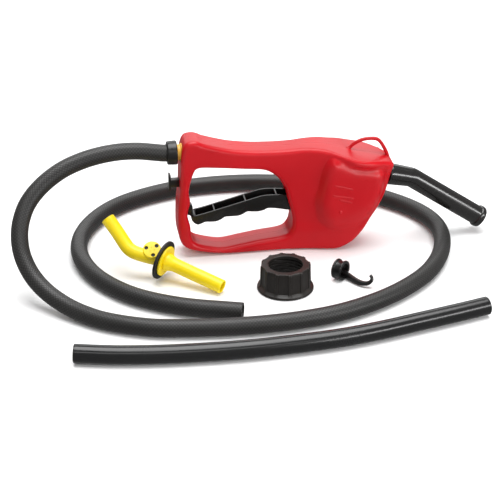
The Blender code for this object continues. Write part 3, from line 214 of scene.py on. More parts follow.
def curve_points(points, closed=False, steps=CURVE_STEPS):
    """Points along a smooth Catmull-Rom curve through the given ones."""
    knots = [np.array(p, float) for p in points]
    if closed:
        knots = [knots[-1], *knots, knots[0], knots[1]]
    else:
        knots = [2 * knots[0] - knots[1], *knots, 2 * knots[-1] - knots[-2]]
    found = []
    for before, start, end, after in zip(knots, knots[1:], knots[2:], knots[3:]):
        for step in range(steps):
            t = step / steps
            bend = (2 * before - 5 * start + 4 * end - after) * t**2
            twist = (3 * start - before - 3 * end + after) * t**3
            found.append(0.5 * (2 * start + (end - before) * t + bend + twist))
    if not closed:
        found.append(knots[-2])
    return np.array(found)


def lengths_along(line):
    """The length of the line from its start to each of its points."""
    return np.r_[0, np.cumsum(np.linalg.norm(np.diff(line, axis=0), axis=1))]


def resampled(points, spacing, closed=False):
    """The same line with evenly spaced points."""
    line = np.vstack([points, points[:1]]) if closed else np.asarray(points)
    along = lengths_along(line)
    count = max(3, round(along[-1] / spacing))
    places = np.linspace(0, along[-1], count + 1)
    if closed:
        places = places[:-1]
    return np.stack([np.interp(places, along, line[:, i]) for i in range(line.shape[1])], axis=1)


def rounded(profile, radius, closed=True, steps=4):
    """The profile with each corner turned into a short curve of about this radius."""
    points = [np.array(p, float) for p in profile]
    found = []
    for i, here in enumerate(points):
        if not closed and i in (0, len(points) - 1):
            found.append(tuple(here))
            continue
        before, after = points[i - 1] - here, points[(i + 1) % len(points)] - here
        reach = min(radius, 0.45 * np.linalg.norm(before), 0.45 * np.linalg.norm(after))
        start = here + before / np.linalg.norm(before) * reach
        end = here + after / np.linalg.norm(after) * reach
        for t in np.linspace(0, 1, steps + 1):
            found.append(tuple((1 - t) ** 2 * start + 2 * t * (1 - t) * here + t**2 * end))
    return found


def link_new(name, data):
    """A new object in the scene that shows this mesh, light or camera."""
    shape = bpy.data.objects.new(name, data)
    bpy.context.scene.collection.objects.link(shape)
    return shape


def add_object(name, vertices, faces, look=None, sharp=35, uvs=None):
    """A smooth-shaded mesh object. uvs gives each face's corner coordinates."""
    mesh = bpy.data.meshes.new(name)
    mesh.from_pydata([tuple(v) for v in vertices], [], [tuple(f) for f in faces])
    if uvs is not None:
        layer = mesh.uv_layers.new(name="Lengthwise")
        layer.data.foreach_set("uv", np.asarray(uvs, np.float32).ravel())
    work = bmesh.new()
    work.from_mesh(mesh)
    bmesh.ops.remove_doubles(work, verts=work.verts, dist=1e-7)
    bmesh.ops.recalc_face_normals(work, faces=work.faces)
    for face in work.faces:
        face.smooth = True
    work.to_mesh(mesh)
    work.free()
    mesh.set_sharp_from_angle(angle=radians(sharp))
    shape = link_new(name, mesh)
    if look is not None:
        mesh.materials.append(look)
    return shape


def frame_along(origin, axis, side=(0.0, 1.0, 0.0)):
    """A matrix whose Z runs along axis and whose X is as near to side as it can be."""
    z = Vector(axis).normalized()
    x = Vector(side) - z * Vector(side).dot(z)
    x = x.normalized() if x.length > 1e-6 else z.orthogonal().normalized()
    y = z.cross(x)
    return Matrix((
        (x.x, y.x, z.x, origin[0]), (x.y, y.y, z.y, origin[1]), (x.z, y.z, z.z, origin[2]), (0, 0, 0, 1),
    ))


def along_x(z=BULB_Z):
    return frame_along((0.0, 0.0, z), (1.0, 0.0, 0.0))


def loops_to_faces(loops, count, ring=True, around=True):
    """Quads between successive loops of count points.

    ring joins the last loop to the first. Without it, both are capped.
    """
    faces = []
    for k in range(loops if ring else loops - 1):
        here, there = k * count, (k + 1) % loops * count
        for i in range(count if around else count - 1):
            j = (i + 1) % count
            faces.append((here + i, there + i, there + j, here + j))
    caps = [] if ring else [tuple(range(first, first + count)) for first in (0, (loops - 1) * count)]
    return faces + caps


def lathe(name, profile, place, look=None, sides=96, radial=None):
    """A (radius, height) profile turned about the Z axis of place.

    It makes a ring, or a solid if the profile's ends lie on the axis. radial changes a radius by angle.
    """
    vertices = []
    for side in range(sides):
        angle = 2 * pi * side / sides
        for radius, height in profile:
            r = radial(radius, height, angle) if radial else radius
            vertices.append(place @ Vector((r * cos(angle), r * sin(angle), height)))
    return add_object(name, vertices, loops_to_faces(sides, len(profile), around=profile[0][0] > 0), look)


def rod(name, radius, start, end, look=None, sides=40, edge=0.0):
    start, end = Vector(start), Vector(end)
    length = (end - start).length
    profile = [(0.0, 0.0), (radius, 0.0), (radius, length), (0.0, length)]
    profile = rounded(profile, edge, closed=False) if edge else profile
    return lathe(name, profile, frame_along(start, end - start), look, sides)


def box(name, low, high):
    (x0, y0, z0), (x1, y1, z1) = low, high
    return prism(name, [(x0, z0), (x1, z0), (x1, z1), (x0, z1)], y0, y1)


def prism(name, outline, low_y, high_y, look=None):
    """A side profile (X, Z) extruded along Y."""
    vertices = [(x, y, z) for y in (low_y, high_y) for x, z in outline]
    return add_object(name, vertices, loops_to_faces(2, len(outline), ring=False), look)


def carried_frames(line):
    """A frame at each point of the line that turns with it and doesn't twist: (point, across, rise)."""
    points = [Vector(p) for p in line]
    frames = []
    across = None
    for i, point in enumerate(points):
        along = (points[min(i + 1, len(points) - 1)] - points[max(i - 1, 0)]).normalized()
        if across is None:
            across = UP.cross(along)
            across = across if across.length > 0.1 else Vector((0, 1, 0)).cross(along)
        across = (across - along * across.dot(along)).normalized()
        frames.append((point, across, along.cross(across)))
    return frames


def tube(name, line, outer, bore, look=None, sides=48, edge=0.0006):
    """A hollow tube along a line. outer and bore are radii, or lists of one radius a point.

    edge rounds the ends. The mesh carries lengthwise coordinates in metres for the materials.
    """
    count = len(line)
    outer = np.broadcast_to(outer, count).astype(float)
    bore = np.broadcast_to(bore, count).astype(float)
    frames = carried_frames(line)
    lengths = lengths_along(line)
    lips = []
    for at, before in ((-1, -2), (0, 1)):
        point, across, rise = frames[at]
        away = (Vector(line[at]) - Vector(line[before])).normalized()
        step = min(edge, (outer[at] - bore[at]) / 2 * 0.9)
        arc = [(step * (1 - cos(a)), step * sin(a)) for a in np.radians((30, 60, 90))]
        lip = [(outer[at] - inn, out) for inn, out in arc]
        lip += [(bore[at] + inn, out) for inn, out in reversed(arc)]
        lip = [(point + away * out, across, rise, radius, lengths[at] + out) for radius, out in lip]
        lips.append(lip if edge else [])
    outside, inside_wall = ([(*frames[i], r[i], lengths[i]) for i in range(count)] for r in (outer, bore))
    rings = outside + lips[0] + inside_wall[::-1] + lips[1][::-1]
    angles = [2 * pi * k / sides for k in range(sides)]
    vertices = []
    for point, across, rise, radius, _ in rings:
        for angle in angles:
            vertices.append(point + (across * cos(angle) + rise * sin(angle)) * radius)
    uvs = []
    for here, there in zip(rings, rings[1:] + rings[:1]):
        for i in range(sides):
            v0, v1 = i / sides, (i + 1) / sides
            uvs += [(here[4], v0), (there[4], v0), (there[4], v1), (here[4], v1)]
    return add_object(name, vertices, loops_to_faces(len(rings), sides), look, 40, uvs)


def strip(name, line, across_half, rise_half, look=None, corners=16, squareness=0.6):
    """A solid band with rounded edges along a line. The halves are its half sizes at each point."""
    vertices = []
    for (point, side, rise), wide, thick in zip(carried_frames(line), across_half, rise_half):
        for corner in range(corners):
            angle = 2 * pi * corner / corners
            c, s = cos(angle), sin(angle)
            vertices.append(point + side * wide * copysign(abs(c) ** squareness, c)
                            + rise * thick * copysign(abs(s) ** squareness, s))
    return add_object(name, vertices, loops_to_faces(len(line), corners, ring=False), look)


def joined(name, shapes):
    """Separate closed shapes as one mesh."""
    work = bmesh.new()
    for shape in shapes:
        work.from_mesh(shape.data)
        bpy.data.objects.remove(shape)
    mesh = bpy.data.meshes.new(name)
    work.to_mesh(mesh)
    work.free()
    return link_new(name, mesh)


def boolean(shape, others, operation="DIFFERENCE"):
    """Cuts the other shapes out of this one, or joins them to it, and removes them."""
    others = others if isinstance(others, list) else [others]
    for other in others:
        step = shape.modifiers.new(operation.title(), "BOOLEAN")
        step.object = other
        step.operation = operation
        step.solver = "EXACT"
    apply_modifiers(shape)
    for other in others:
        bpy.data.objects.remove(other)


def apply_modifiers(shape):
    depsgraph = bpy.context.evaluated_depsgraph_get()
    mesh = bpy.data.meshes.new_from_object(shape.evaluated_get(depsgraph), depsgraph=depsgraph)
    shape.modifiers.clear()
    shape.data = mesh
    for polygon in mesh.polygons:
        polygon.use_smooth = True
    mesh.set_sharp_from_angle(angle=radians(35))


def bevel(shape, width):
    edge = shape.modifiers.new("Moulded edges", "BEVEL")
    edge.width, edge.segments, edge.limit_method = width, 3, "ANGLE"
    edge.angle_limit = radians(40)
    edge.use_clamp_overlap = True
    edge.miter_outer = "MITER_ARC"
    apply_modifiers(shape)


# ---- Materials ----

def set_inputs(node, **values):
    """Sets a node's inputs. An input's name is written in lower case, with _ for a space."""
    for name, value in values.items():
        node.inputs[name.replace("_", " ").title()].default_value = value


class Nodes:
    """A Principled material and short ways to add nodes to it."""

    def __init__(self, name, color, roughness, metallic=0.0, specular=0.5):
        self.material = bpy.data.materials.new(name)
        self.material.use_nodes = True
        self.tree = self.material.node_tree
        self.shader = self.tree.nodes["Principled BSDF"]
        set_inputs(self.shader, base_color=(*color, 1.0), roughness=roughness, metallic=metallic)
        self.shader.inputs["Specular IOR Level"].default_value = specular
        self.color = color
        self.place = self.add("ShaderNodeTexCoord").outputs["Object"]

    def add(self, kind, **settings):
        node = self.tree.nodes.new(kind)
        for name, value in settings.items():
            setattr(node, name, value)
        return node

    def link(self, output, target):
        self.tree.links.new(output, target)

    def noise(self, scale, detail):
        node = self.add("ShaderNodeTexNoise")
        set_inputs(node, scale=scale, detail=detail)
        self.link(self.place, node.inputs["Vector"])
        return node.outputs["Fac"]

    def math(self, operation, *values):
        node = self.add("ShaderNodeMath", operation=operation)
        for socket, value in zip(node.inputs, values):
            if isinstance(value, (int, float)):
                socket.default_value = value
            else:
                self.link(value, socket)
        return node.outputs[0]

    def spread(self, value, low, high, to_low, to_high):
        node = self.add("ShaderNodeMapRange")
        set_inputs(node, from_min=low, from_max=high, to_min=to_low, to_max=to_high)
        self.link(value, node.inputs["Value"])
        return node.outputs["Result"]

    def mix(self, share, first, second):
        """A colour between two, each a colour or an output."""
        node = self.add("ShaderNodeMix", data_type="RGBA")
        self.link(share, node.inputs["Factor"])
        for socket, value in ((node.inputs[6], first), (node.inputs[7], second)):
            if isinstance(value, tuple):
                socket.default_value = (*value, 1.0)
            else:
                self.link(value, socket)
        return node.outputs[2]

    def shade(self, share):
        return tuple(channel * share for channel in self.color)

    def bump(self, height, strength, distance, before=None):
        node = self.add("ShaderNodeBump")
        set_inputs(node, strength=strength, distance=distance)
        self.link(height, node.inputs["Height"])
        if before is not None:
            self.link(before, node.inputs["Normal"])
        return node.outputs["Normal"]

    def finish(self, color=None, roughness=None, normal=None):
        for socket, output in (("Base Color", color), ("Roughness", roughness), ("Normal", normal)):
            if output is not None:
                self.link(output, self.shader.inputs[socket])
        return self.material


def moulded(name, color, roughness, grain=900, grain_depth=0.00002, worn=0.05, **shader):
    """Injection-moulded plastic: fine surface grain, slow flow marks and slightly paler worn edges."""
    made = Nodes(name, color, roughness, **shader)
    flow = made.noise(14, 2.0)
    grain_height = made.noise(grain, 2.0)
    waves = made.noise(60, 2.0)
    tint = made.mix(made.spread(flow, 0.3, 0.7, 0.0, 1.0), made.shade(0.92), made.shade(1.06))
    edge = made.spread(made.add("ShaderNodeNewGeometry").outputs["Pointiness"], 0.515, 0.56, 0.0, worn)
    pale = tuple(min(1.0, channel * 1.2 + 0.1) for channel in color)
    rough = made.spread(made.math("ADD", flow, grain_height), 0.7, 1.3, roughness - 0.04, roughness + 0.06)
    normal = made.bump(waves, 0.25, 0.00025)
    normal = made.bump(grain_height, 0.5, grain_depth, normal)
    return made.finish(made.mix(edge, tint, pale), rough, normal)


def braided_rubber(name):
    """Black rubber hose whose textile braid shows through as two crossing sets of strands. Painted shade
    darkens the grooves between the strands.
    """
    strands, pitch = 15, 0.004
    made = Nodes(name, (0.02, 0.0195, 0.019), 0.55)
    lengthwise = made.add("ShaderNodeUVMap", uv_map="Lengthwise").outputs["UV"]
    parts = made.add("ShaderNodeSeparateXYZ")
    made.link(lengthwise, parts.inputs[0])
    along = made.math("DIVIDE", parts.outputs["X"], pitch)
    around = made.math("MULTIPLY", parts.outputs["Y"], strands)
    ridges = []
    for operation in ("ADD", "SUBTRACT"):
        phase = made.math(operation, along, around)
        ridges.append(made.math("ABSOLUTE", made.math("SINE", made.math("MULTIPLY", phase, pi))))
    weave = made.math("MULTIPLY", *ridges)
    rough_noise = made.noise(400, 3.0)
    blotches = made.noise(18, 3.0)
    # The braid pattern's colour: painted shade in the grooves between strands, the lighter strand colour on
    # their crests.
    groove_painted_shade, light = (0.0075, 0.0072, 0.0068), (0.04, 0.038, 0.036)
    share = made.math("MULTIPLY", weave, made.spread(blotches, 0.3, 0.7, 0.55, 1.0))
    color = made.mix(share, groove_painted_shade, light)
    roughness = made.spread(made.math("ADD", weave, rough_noise), 0.3, 1.5, 0.52, 0.34)
    normal = made.bump(made.math("POWER", weave, 0.6), 0.85, 0.00022)
    normal = made.bump(rough_noise, 0.25, 0.00005, normal)
    return made.finish(color, roughness, normal)


def zinc(name):
    """Zinc-plated steel: fine brushed streaks under a thin dull layer."""
    made = Nodes(name, (0.6, 0.6, 0.58), 0.34, 1.0)
    streaks = made.noise(1500, 3.0)
    stains = made.noise(120, 3.0)
    color = made.mix(made.spread(stains, 0.35, 0.7, 0.0, 1.0), (0.62, 0.62, 0.6), (0.46, 0.45, 0.42))
    return made.finish(color, made.spread(streaks, 0.3, 0.7, 0.26, 0.45), made.bump(streaks, 0.3, 0.00002))


RED = moulded("housing_red_plastic", (0.53, 0.0, 0.006), 0.34, worn=0.1, specular=0.36)
BLACK = moulded("black_gloss_plastic", (0.0075, 0.007, 0.0065), 0.3, worn=0.04)
SPOUT_BLACK = moulded("spout_black_plastic", (0.0085, 0.0078, 0.0072), 0.19, grain_depth=0.000008, worn=0.03,
                      specular=0.8)
PIPE_BLACK = moulded("pipe_black_plastic", (0.0075, 0.0078, 0.008), 0.22, grain_depth=0.00001, worn=0.02)
BROWN_BLACK = moulded("collar_black_plastic", (0.0145, 0.0115, 0.0095), 0.42, 500, 0.00004, 0.08)
YELLOW = moulded("yellow_plastic", (0.95, 0.72, 0.002), 0.36, worn=0.1)
AMBER = moulded("amber_fitting_plastic", (0.9, 0.5, 0.06), 0.35)
SOFT_RUBBER = moulded("soft_black_rubber", (0.01, 0.0098, 0.0095), 0.62, grain=700, grain_depth=0.00004)
NYLON = moulded("natural_nylon_plastic", (0.72, 0.7, 0.62), 0.45)
BLUE_RUBBER = moulded("valve_blue_rubber", (0.05, 0.1, 0.3), 0.55)
HOSE_RUBBER = braided_rubber("braided_hose_rubber")
STEEL = zinc("zinc_plated_steel")


# ---- The camera and the hose come first ----

def make_camera():
    data = bpy.data.cameras.new("Camera")
    data.lens, data.sensor_width = 135.0, 36.0
    data.dof.use_dof = False
    camera = link_new("Camera", data)
    camera.location = (-0.3778, -2.0693, 1.1)
    camera.rotation_euler = (radians(90 - 27.8), 0.0, radians(-9.3))
    bpy.context.scene.camera = camera


def place_piece(piece, body, slot, *nodes):
    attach(piece, body)
    if nodes:
        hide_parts(*nodes)
    return piece


def make_hose():
    smooth = curve_points(HOSE_ROUTE)
    line = [smooth[0], *resampled(smooth[CURVE_STEPS:], 0.0022)]
    hose = tube("braided_hose", line, HOSE_R, HOSE_BORE_R, HOSE_RUBBER, 44)
    place_piece(hose, "root", "hose_rubber", "suction_hose")


make_camera()
make_hose()


# ---- Housing ----

def inside(loop, x, z):
    found = np.zeros(np.shape(x), bool)
    for (x0, z0), (x1, z1) in zip(loop, np.roll(loop, -1, axis=0)):
        if z0 != z1:
            found ^= ((z0 > z) != (z1 > z)) & (x < (x1 - x0) * (z - z0) / (z1 - z0) + x0)
    return found


def segment_distance(start, end, x, z):
    """Distance from each point (x, z) to the straight line from start to end."""
    along = np.subtract(end, start)
    t = ((x - start[0]) * along[0] + (z - start[1]) * along[1]) / (along @ along)
    t = np.clip(t, 0, 1)
    return np.hypot(start[0] + along[0] * t - x, start[1] + along[1] * t - z)


def loop_distance(loop, x, z):
    """Distance from each point (x, z) to the closed loop."""
    x, z = np.atleast_1d(x), np.atleast_1d(z)
    best = np.full(x.shape, np.inf)
    for start, end in zip(loop, np.roll(loop, -1, axis=0)):
        best = np.minimum(best, segment_distance(start, end, x, z))
    return best


def smoothstep(low, high, value):
    t = np.clip((value - low) / (high - low), 0.0, 1.0)
    return t * t * (3 - 2 * t)


def grounded(points):
    """The closed curve through the points, flat where it would pass below the floor."""
    loop = curve_points(points, closed=True)
    loop[:, 1] = np.maximum(loop[:, 1], 0.0)
    return loop


OUTLINE, WINDOW, BULGE = map(grounded, (HOUSING_OUTLINE, WINDOW_OUTLINE, BULGE_OUTLINE))


def border_distance(x, z):
    """Distance from each point (x, z) to the nearer edge of the housing: its outline or its window's."""
    return np.minimum(loop_distance(OUTLINE, x, z), loop_distance(WINDOW, x, z))


def on_housing(x, z):
    return inside(OUTLINE, x, z) & ~inside(WINDOW, x, z)


def inward_normals(loop):
    """Unit normals in the (X, Z) plane that point into the closed loop."""
    x, z = loop.T
    turn = np.sign(np.sum(x * np.roll(z, -1) - z * np.roll(x, -1)))
    tangent = np.roll(loop, -1, axis=0) - np.roll(loop, 1, axis=0)
    tangent /= np.linalg.norm(tangent, axis=1)[:, None]
    return turn * np.stack([-tangent[:, 1], tangent[:, 0]], axis=1)


def brow(x, z):
    """How much of the ridge above the bulge is there at (x, z)."""
    below = smoothstep(*BROW_DEPTH, loop_distance(OUTLINE, x, z))
    return smoothstep(*BROW_X, x) * smoothstep(*BROW_Z, z) * (1 - below)


def bulge_depth(x, z):
    """How far inside the bulge's foot (x, z) is."""
    return np.where(inside(BULGE, x, z), 1, -1) * loop_distance(BULGE, x, z)


def half_width(x, z):
    width = GRIP_HALF_WIDTH + (BODY_HALF_WIDTH - GRIP_HALF_WIDTH) * smoothstep(*BODY_X, x)
    width = width + BROW_FLARE * brow(x, z)
    width = width - (width - NOSE_HALF_WIDTH) * smoothstep(*NOSE_X, x)
    width = width + SKIRT_FLARE * smoothstep(*SKIRT_X, x) * (1 - smoothstep(*SKIRT_Z, z))
    reach = BULGE_SHOULDER + (BULGE_SKIRT - BULGE_SHOULDER) * (1 - smoothstep(*BULGE_REACH_Z, z))
    short = 1 - np.clip((bulge_depth(x, z) + BULGE_FOOT) / reach, 0.0, 1.0)
    rise = np.maximum(BULGE_HALF_WIDTH - width, 0.0)
    return width + rise * np.sqrt(1 - short**2) * (1 - short**4)


def edge_rounding(x, z):
    """How far the rounded edge reaches across the housing, and how deep in from its outline."""
    ahead = smoothstep(*BROW_ROUND_X, x) * smoothstep(*BROW_ROUND_Z, z)
    deep = EDGE_ROUND + (BROW_ROUND - EDGE_ROUND) * ahead
    return np.minimum(deep, half_width(x, z) - 2 * WALL), deep


def relief(x, z):
    """The moulded bars and the pip on the panel."""
    height = PIP_RISE * (1 - smoothstep(0.6 * PIP_R, PIP_R, np.hypot(x - PIP[0], z - PIP[1])))
    for start, end in BARS:
        off = segment_distance(start, end, x, z)
        height = height + BAR_RISE * (1 - smoothstep(0.45 * BAR_HALF_WIDTH, BAR_HALF_WIDTH, off))
    return height


def skin(x, z):
    """Height of the outer surface above the middle plane."""
    x, z = np.atleast_1d(x), np.atleast_1d(z)
    across, deep = edge_rounding(x, z)
    t = np.minimum(border_distance(x, z) / deep, 1.0)
    return half_width(x, z) - across + across * np.sqrt(1 - (1 - t) ** 2) + relief(x, z)


def skin_points(fine_step):
    """Places (X, Z) that a shell's skin is meshed through, its border loops first, and the loops' sizes."""
    borders = [resampled(OUTLINE, EDGE_STEP, True), resampled(WINDOW, EDGE_STEP, True)]
    places = [*borders]
    for loop, inwards in zip(borders, (1, -1)):
        normal = inwards * inward_normals(loop)
        deep = edge_rounding(*loop.T)[1]
        for angle in (14, 27, 40, 53, 66, 78, 90):
            inset = deep * (1 - cos(radians(angle)))
            moved = loop + normal * inset[:, None]
            places.append(moved[border_distance(*moved.T) > 0.93 * inset])
    foot = resampled(BULGE, EDGE_STEP, True)
    for inset in BULGE_RINGS:
        ring = foot + inward_normals(foot) * inset
        x, z = ring.T
        keep = on_housing(x, z) & (border_distance(x, z) > edge_rounding(x, z)[1] + 0.001)
        keep &= (loop_distance(BULGE, x, z) > abs(inset) - 0.0002) & ~relief_area(x, z)
        places.append(ring[keep])
    low, high = OUTLINE.min(axis=0), OUTLINE.max(axis=0)
    for step, fine in ((GRID_STEP, False), (fine_step, True)):
        rows, columns = np.arange(low[1], high[1], step * 0.87), np.arange(low[0], high[0], step)
        grid = np.array([(x + k % 2 * step / 2, z) for k, z in enumerate(rows) for x in columns])
        x, z = grid.T
        keep = on_housing(x, z) & (border_distance(x, z) > edge_rounding(x, z)[1] + 0.3 * step)
        near_relief, depth = relief_area(x, z), bulge_depth(x, z)
        near_foot = (depth > BULGE_RINGS[0] - 0.0015) & (depth < BULGE_RINGS[-1] + 0.0015)
        keep &= near_relief if fine else ~near_relief & ~near_foot
        places.append(grid[keep])
    return np.vstack(places), [len(loop) for loop in borders]


def relief_area(x, z):
    """Where the bars and the pip need finely spaced points."""
    bars = (x > BARS_X[0]) & (x < BARS_X[1]) & (z > BARS_Z[0]) & (z < BARS_Z[1])
    return bars | (np.hypot(x - PIP[0], z - PIP[1]) < 2 * PIP_R)


def make_shell(name, side):
    """One half of the housing: its outer skin, given a wall inwards. side is -1 near, 1 far."""
    places, sizes = skin_points(NEAR_FINE_STEP if side < 0 else FAR_FINE_STEP)
    heights = skin(*places.T)
    borders, first = [], 0
    for size in sizes:
        borders.append(list(range(first, first + size)))
        first += size
    edges = [(a, b) for border in borders for a, b in zip(border, border[1:] + border[:1])]
    points, _, faces, origins, _, _ = delaunay_2d_cdt([Vector(p) for p in places], edges, [], 0, 1e-7)
    centres = np.array([np.mean([tuple(points[i]) for i in face], axis=0) for face in faces])
    loops = [places[border] for border in borders]
    kept = inside(loops[0], *centres.T) & ~inside(loops[1], *centres.T)
    vertices = [(p.x, side * heights[origin[0]], p.y) for p, origin in zip(points, origins)]
    shown = [tuple(face) for face, keep in zip(faces, kept) if keep]
    where = {origin[0]: i for i, origin in enumerate(origins)}
    seam, steps = SEAM_Y + side * GAP / 2, 5
    for border in borders:
        rows = [[where[i] for i in border]]
        for step in range(1, steps + 1):
            rows.append(list(range(len(vertices), len(vertices) + len(border))))
            for i in border:
                rim = side * heights[i]
                vertices.append((places[i][0], rim + (seam - rim) * step / steps, places[i][1]))
        for upper, lower in zip(rows, rows[1:]):
            for k in range(len(border)):
                j = (k + 1) % len(border)
                shown.append((upper[k], upper[j], lower[j], lower[k]))
    shape = add_object(name, vertices, shown, RED, 30)
    mesh = shape.data
    facing = sum(face.normal.y * face.area for face in mesh.polygons if abs(face.normal.y) > 0.9)
    if facing * side < 0:
        mesh.flip_normals()
    wall = shape.modifiers.new("Wall", "SOLIDIFY")
    wall.thickness, wall.offset = WALL, -1
    apply_modifiers(shape)
    return shape


def across(name, radius, place, start_y, end_y, sides=40):
    """A cylinder along Y through the place (X, Z)."""
    return rod(name, radius, (place[0], start_y, place[1]), (place[0], end_y, place[1]), None, sides)


def make_housing():
    near, far = make_shell("near_shell", -1), make_shell("far_shell", 1)
    loop = curve_points([(x, LOOP_Y, z) for x, z in LOOP_ROUTE], steps=6)
    feet = np.r_[np.linspace(1, 0, 9) ** 2, np.zeros(len(loop) - 9)] + np.linspace(0, 0.5, len(loop)) ** 2
    hang_loop = strip("hang_loop", loop, LOOP_R * (1 + 0.5 * feet), LOOP_R * (1 + 0.8 * feet), RED)
    bosses = [across(f"boss_{k}", BOSS_R, p, SEAM_Y + GAP / 2, float(skin(*p)[0]) - 0.0012)
              for k, p in enumerate(SCREW_PLACES)]
    boolean(far, [joined("bosses", bosses)], "UNION")
    counterbores = [across(f"seat_{k}", COUNTERBORE_R, p, SCREW_SEAT_Y, float(skin(*p)[0]) + 0.004)
                    for k, p in enumerate(SCREW_PLACES)]
    boolean(far, [joined("counterbores", counterbores)])
    ahead = (SPOUT_ELBOW - SPOUT_ROOT).normalized()
    for shape in (near, far):
        cutters = [
            rod("rear_hole", FITTING_R + GAP, (-0.15, 0, HOSE_Z), (-0.1165, 0, HOSE_Z)),
            rod("front_hole", SPOUT_NECK_R + GAP, SPOUT_ROOT + ahead * 0.0108, SPOUT_ROOT + ahead * 0.045),
            box("trigger_slot", *TRIGGER_SLOT),
            box("tab_slot", *TAB_SLOT),
        ]
        boolean(shape, [joined("housing_cutters", cutters), box("lock_slot", *LOCK_SLOT)])
    place_piece(near, "root", "housing_red", "housing_left")
    place_piece(far, "root", "housing_red", "housing_right")
    place_piece(hang_loop, "root", "housing_red")


def make_screws():
    """Pan-head screws with a cross recess, in their counterbores on the far side."""
    seat, tip, head_r, head_h, shank_r = SCREW_SEAT_Y + GAP, -0.0075, 0.0028, 0.002, 0.0015
    recess_reach, recess_half, recess_depth = 0.0016, 0.0004, 0.0011
    top = seat + head_h
    profile = [(0.0, tip), (shank_r, tip + 0.002), (shank_r, seat), (head_r, seat),
               (head_r, seat + 0.5 * head_h), (0.6 * head_r, top), (0.0, top)]
    for number, (x, z) in enumerate(SCREW_PLACES, 1):
        place = frame_along((x, 0.0, z), (0, 1, 0), (1, 0, 0))
        screw = lathe(f"pan_screw_{number}", rounded(profile, 0.0003, False, 2), place, STEEL, 32)
        recess = []
        for a, b in ((recess_reach, recess_half), (recess_half, recess_reach)):
            recess.append(box("recess", (x - a, top - recess_depth, z - b), (x + a, top + 0.001, z + b)))
        boolean(screw, recess)
        place_piece(screw, "root", "zinc_steel", f"housing_screw_{number}")


make_housing()
make_screws()


# ---- Trigger and lock ----

def make_trigger():
    """A ribbed lever with a neck and hub on the pivot, an arm up to the push rod and a tab for the lock."""
    top, under = curve_points(TRIGGER_TOP, steps=6), curve_points(TRIGGER_UNDER, steps=6)
    outline = [tuple(point) for point in np.vstack([top, under])]
    body = prism("trigger_lever", outline, -TRIGGER_HALF_WIDTH, TRIGGER_HALF_WIDTH, BLACK)
    ends = [TRIGGER_TOP[0][0] + 0.004, *RIB_PLACES, TRIGGER_TOP[-1][0] - 0.006]
    inner = TRIGGER_HALF_WIDTH - RIM
    channels = []
    for number, (start, end) in enumerate(zip(ends, ends[1:])):
        low, high = start + RIB / 2, end - RIB / 2
        places = np.linspace(low, high, 12)
        floor = [(x, float(np.interp(x, top[:, 0], top[:, 1])) - CHANNEL_DEPTH) for x in places]
        above = [(high, floor[-1][1] + 0.02), (low, floor[0][1] + 0.02)]
        channels.append(prism(f"channel_{number}", floor + above, -inner, inner))
    x, z = PIVOT.x, PIVOT.z
    neck = [(0.012, 0.06), (0.012, 0.071), (x, z + 0.006), (x, z - 0.006)]
    arm = [(x - 0.004, z), (x + 0.0042, z), (x + 0.0042, z + 0.024), (x + 0.002, z + 0.027),
           (x - 0.003, z + 0.027)]
    tab = [(-0.1185, 0.053), (-0.1115, 0.0495), (-0.1115, 0.063), (-0.113, 0.066), (-0.1185, 0.066)]
    boolean(body, joined("channels", channels))
    added = [
        prism("neck", neck, -0.005, 0.005), across("hub", 0.008, (x, z), -0.005, 0.005, 48),
        prism("arm", arm, -0.0045, 0.0045), prism("tab", tab, -0.004, 0.004),
    ]
    for piece in added:
        boolean(body, piece, "UNION")
    boolean(body, across("pin_bore", PIN_R + GAP, (x, z), -0.02, 0.02, 48))
    bevel(body, 0.0005)
    place_piece(body, "trigger_body", "black_plastic", "trigger")


def make_lock():
    plate_x, thick, inner_x = -0.138, 0.0025, -0.1205
    plate = [
        (plate_x - thick, 0.087), (plate_x, 0.087), (plate_x, LOCK_LOW), (inner_x, LOCK_LOW),
        (inner_x, 0.0985), (-0.1235, LOCK_HIGH), (plate_x, LOCK_HIGH), (plate_x, 0.108),
        (plate_x - thick, 0.109),
    ]
    lock = prism("lock_slide", plate, -0.0046, 0.0046, BLACK)
    bevel(lock, 0.0006)
    place_piece(lock, "lock_body", "black_plastic", "trigger_lock")


def make_spring():
    x, z = PIVOT.x, PIVOT.z
    turns, per_turn, radius, start_y, pitch, wire_r = 3, 28, 0.0055, 0.0064, 0.0017, 0.0008
    route = [(x - 0.0092, start_y, z - 0.0085), (x - 0.005, start_y, z - 0.0072)]
    for step in range(turns * per_turn + 1):
        angle = 2 * pi * step / per_turn - pi / 2
        y = start_y + pitch * step / per_turn
        route.append((x + radius * cos(angle), y, z + radius * sin(angle)))
    route.append((x + 0.002, start_y + pitch * turns, z - 0.018))
    line = resampled(curve_points(route, steps=2), 0.0007)
    spring = tube("torsion_spring", line, wire_r, 1e-5, STEEL, 10, edge=0.0)
    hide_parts("return_spring")
    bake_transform(spring)


make_trigger()
make_lock()
make_spring()


# ---- Pump train ----

def make_bulb():
    half, fullness = (BULB_FRONT_X - BULB_BACK_X) / 2, 0.7
    first, last, steps = radians(165), radians(15), 24
    middle = BULB_BACK_X + half
    outer, inner = [], []
    for step in range(steps + 1):
        angle = first + (last - first) * step / steps
        reach, width = cos(angle) / cos(last), sin(angle) ** fullness
        outer.append((BULB_R * width, middle + half * reach))
        inner.append(((BULB_R - BULB_WALL) * width, middle + (half - BULB_WALL) * reach))
    profile = [(0.0, BULB_BACK_X), *outer, (NECK_R, BULB_FRONT_X + 0.002), (NECK_R, NECK_END_X),
               (NECK_R - BULB_WALL, NECK_END_X), (NECK_R - BULB_WALL, BULB_FRONT_X), *reversed(inner),
               (0.0, BULB_BACK_X + BULB_WALL)]
    bulb = lathe("rubber_bulb", rounded(profile, 0.0006, False, 2), along_x(), SOFT_RUBBER, 64)
    place_piece(bulb, "root", "black_rubber", "pump_bulb")
    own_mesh(bulb)


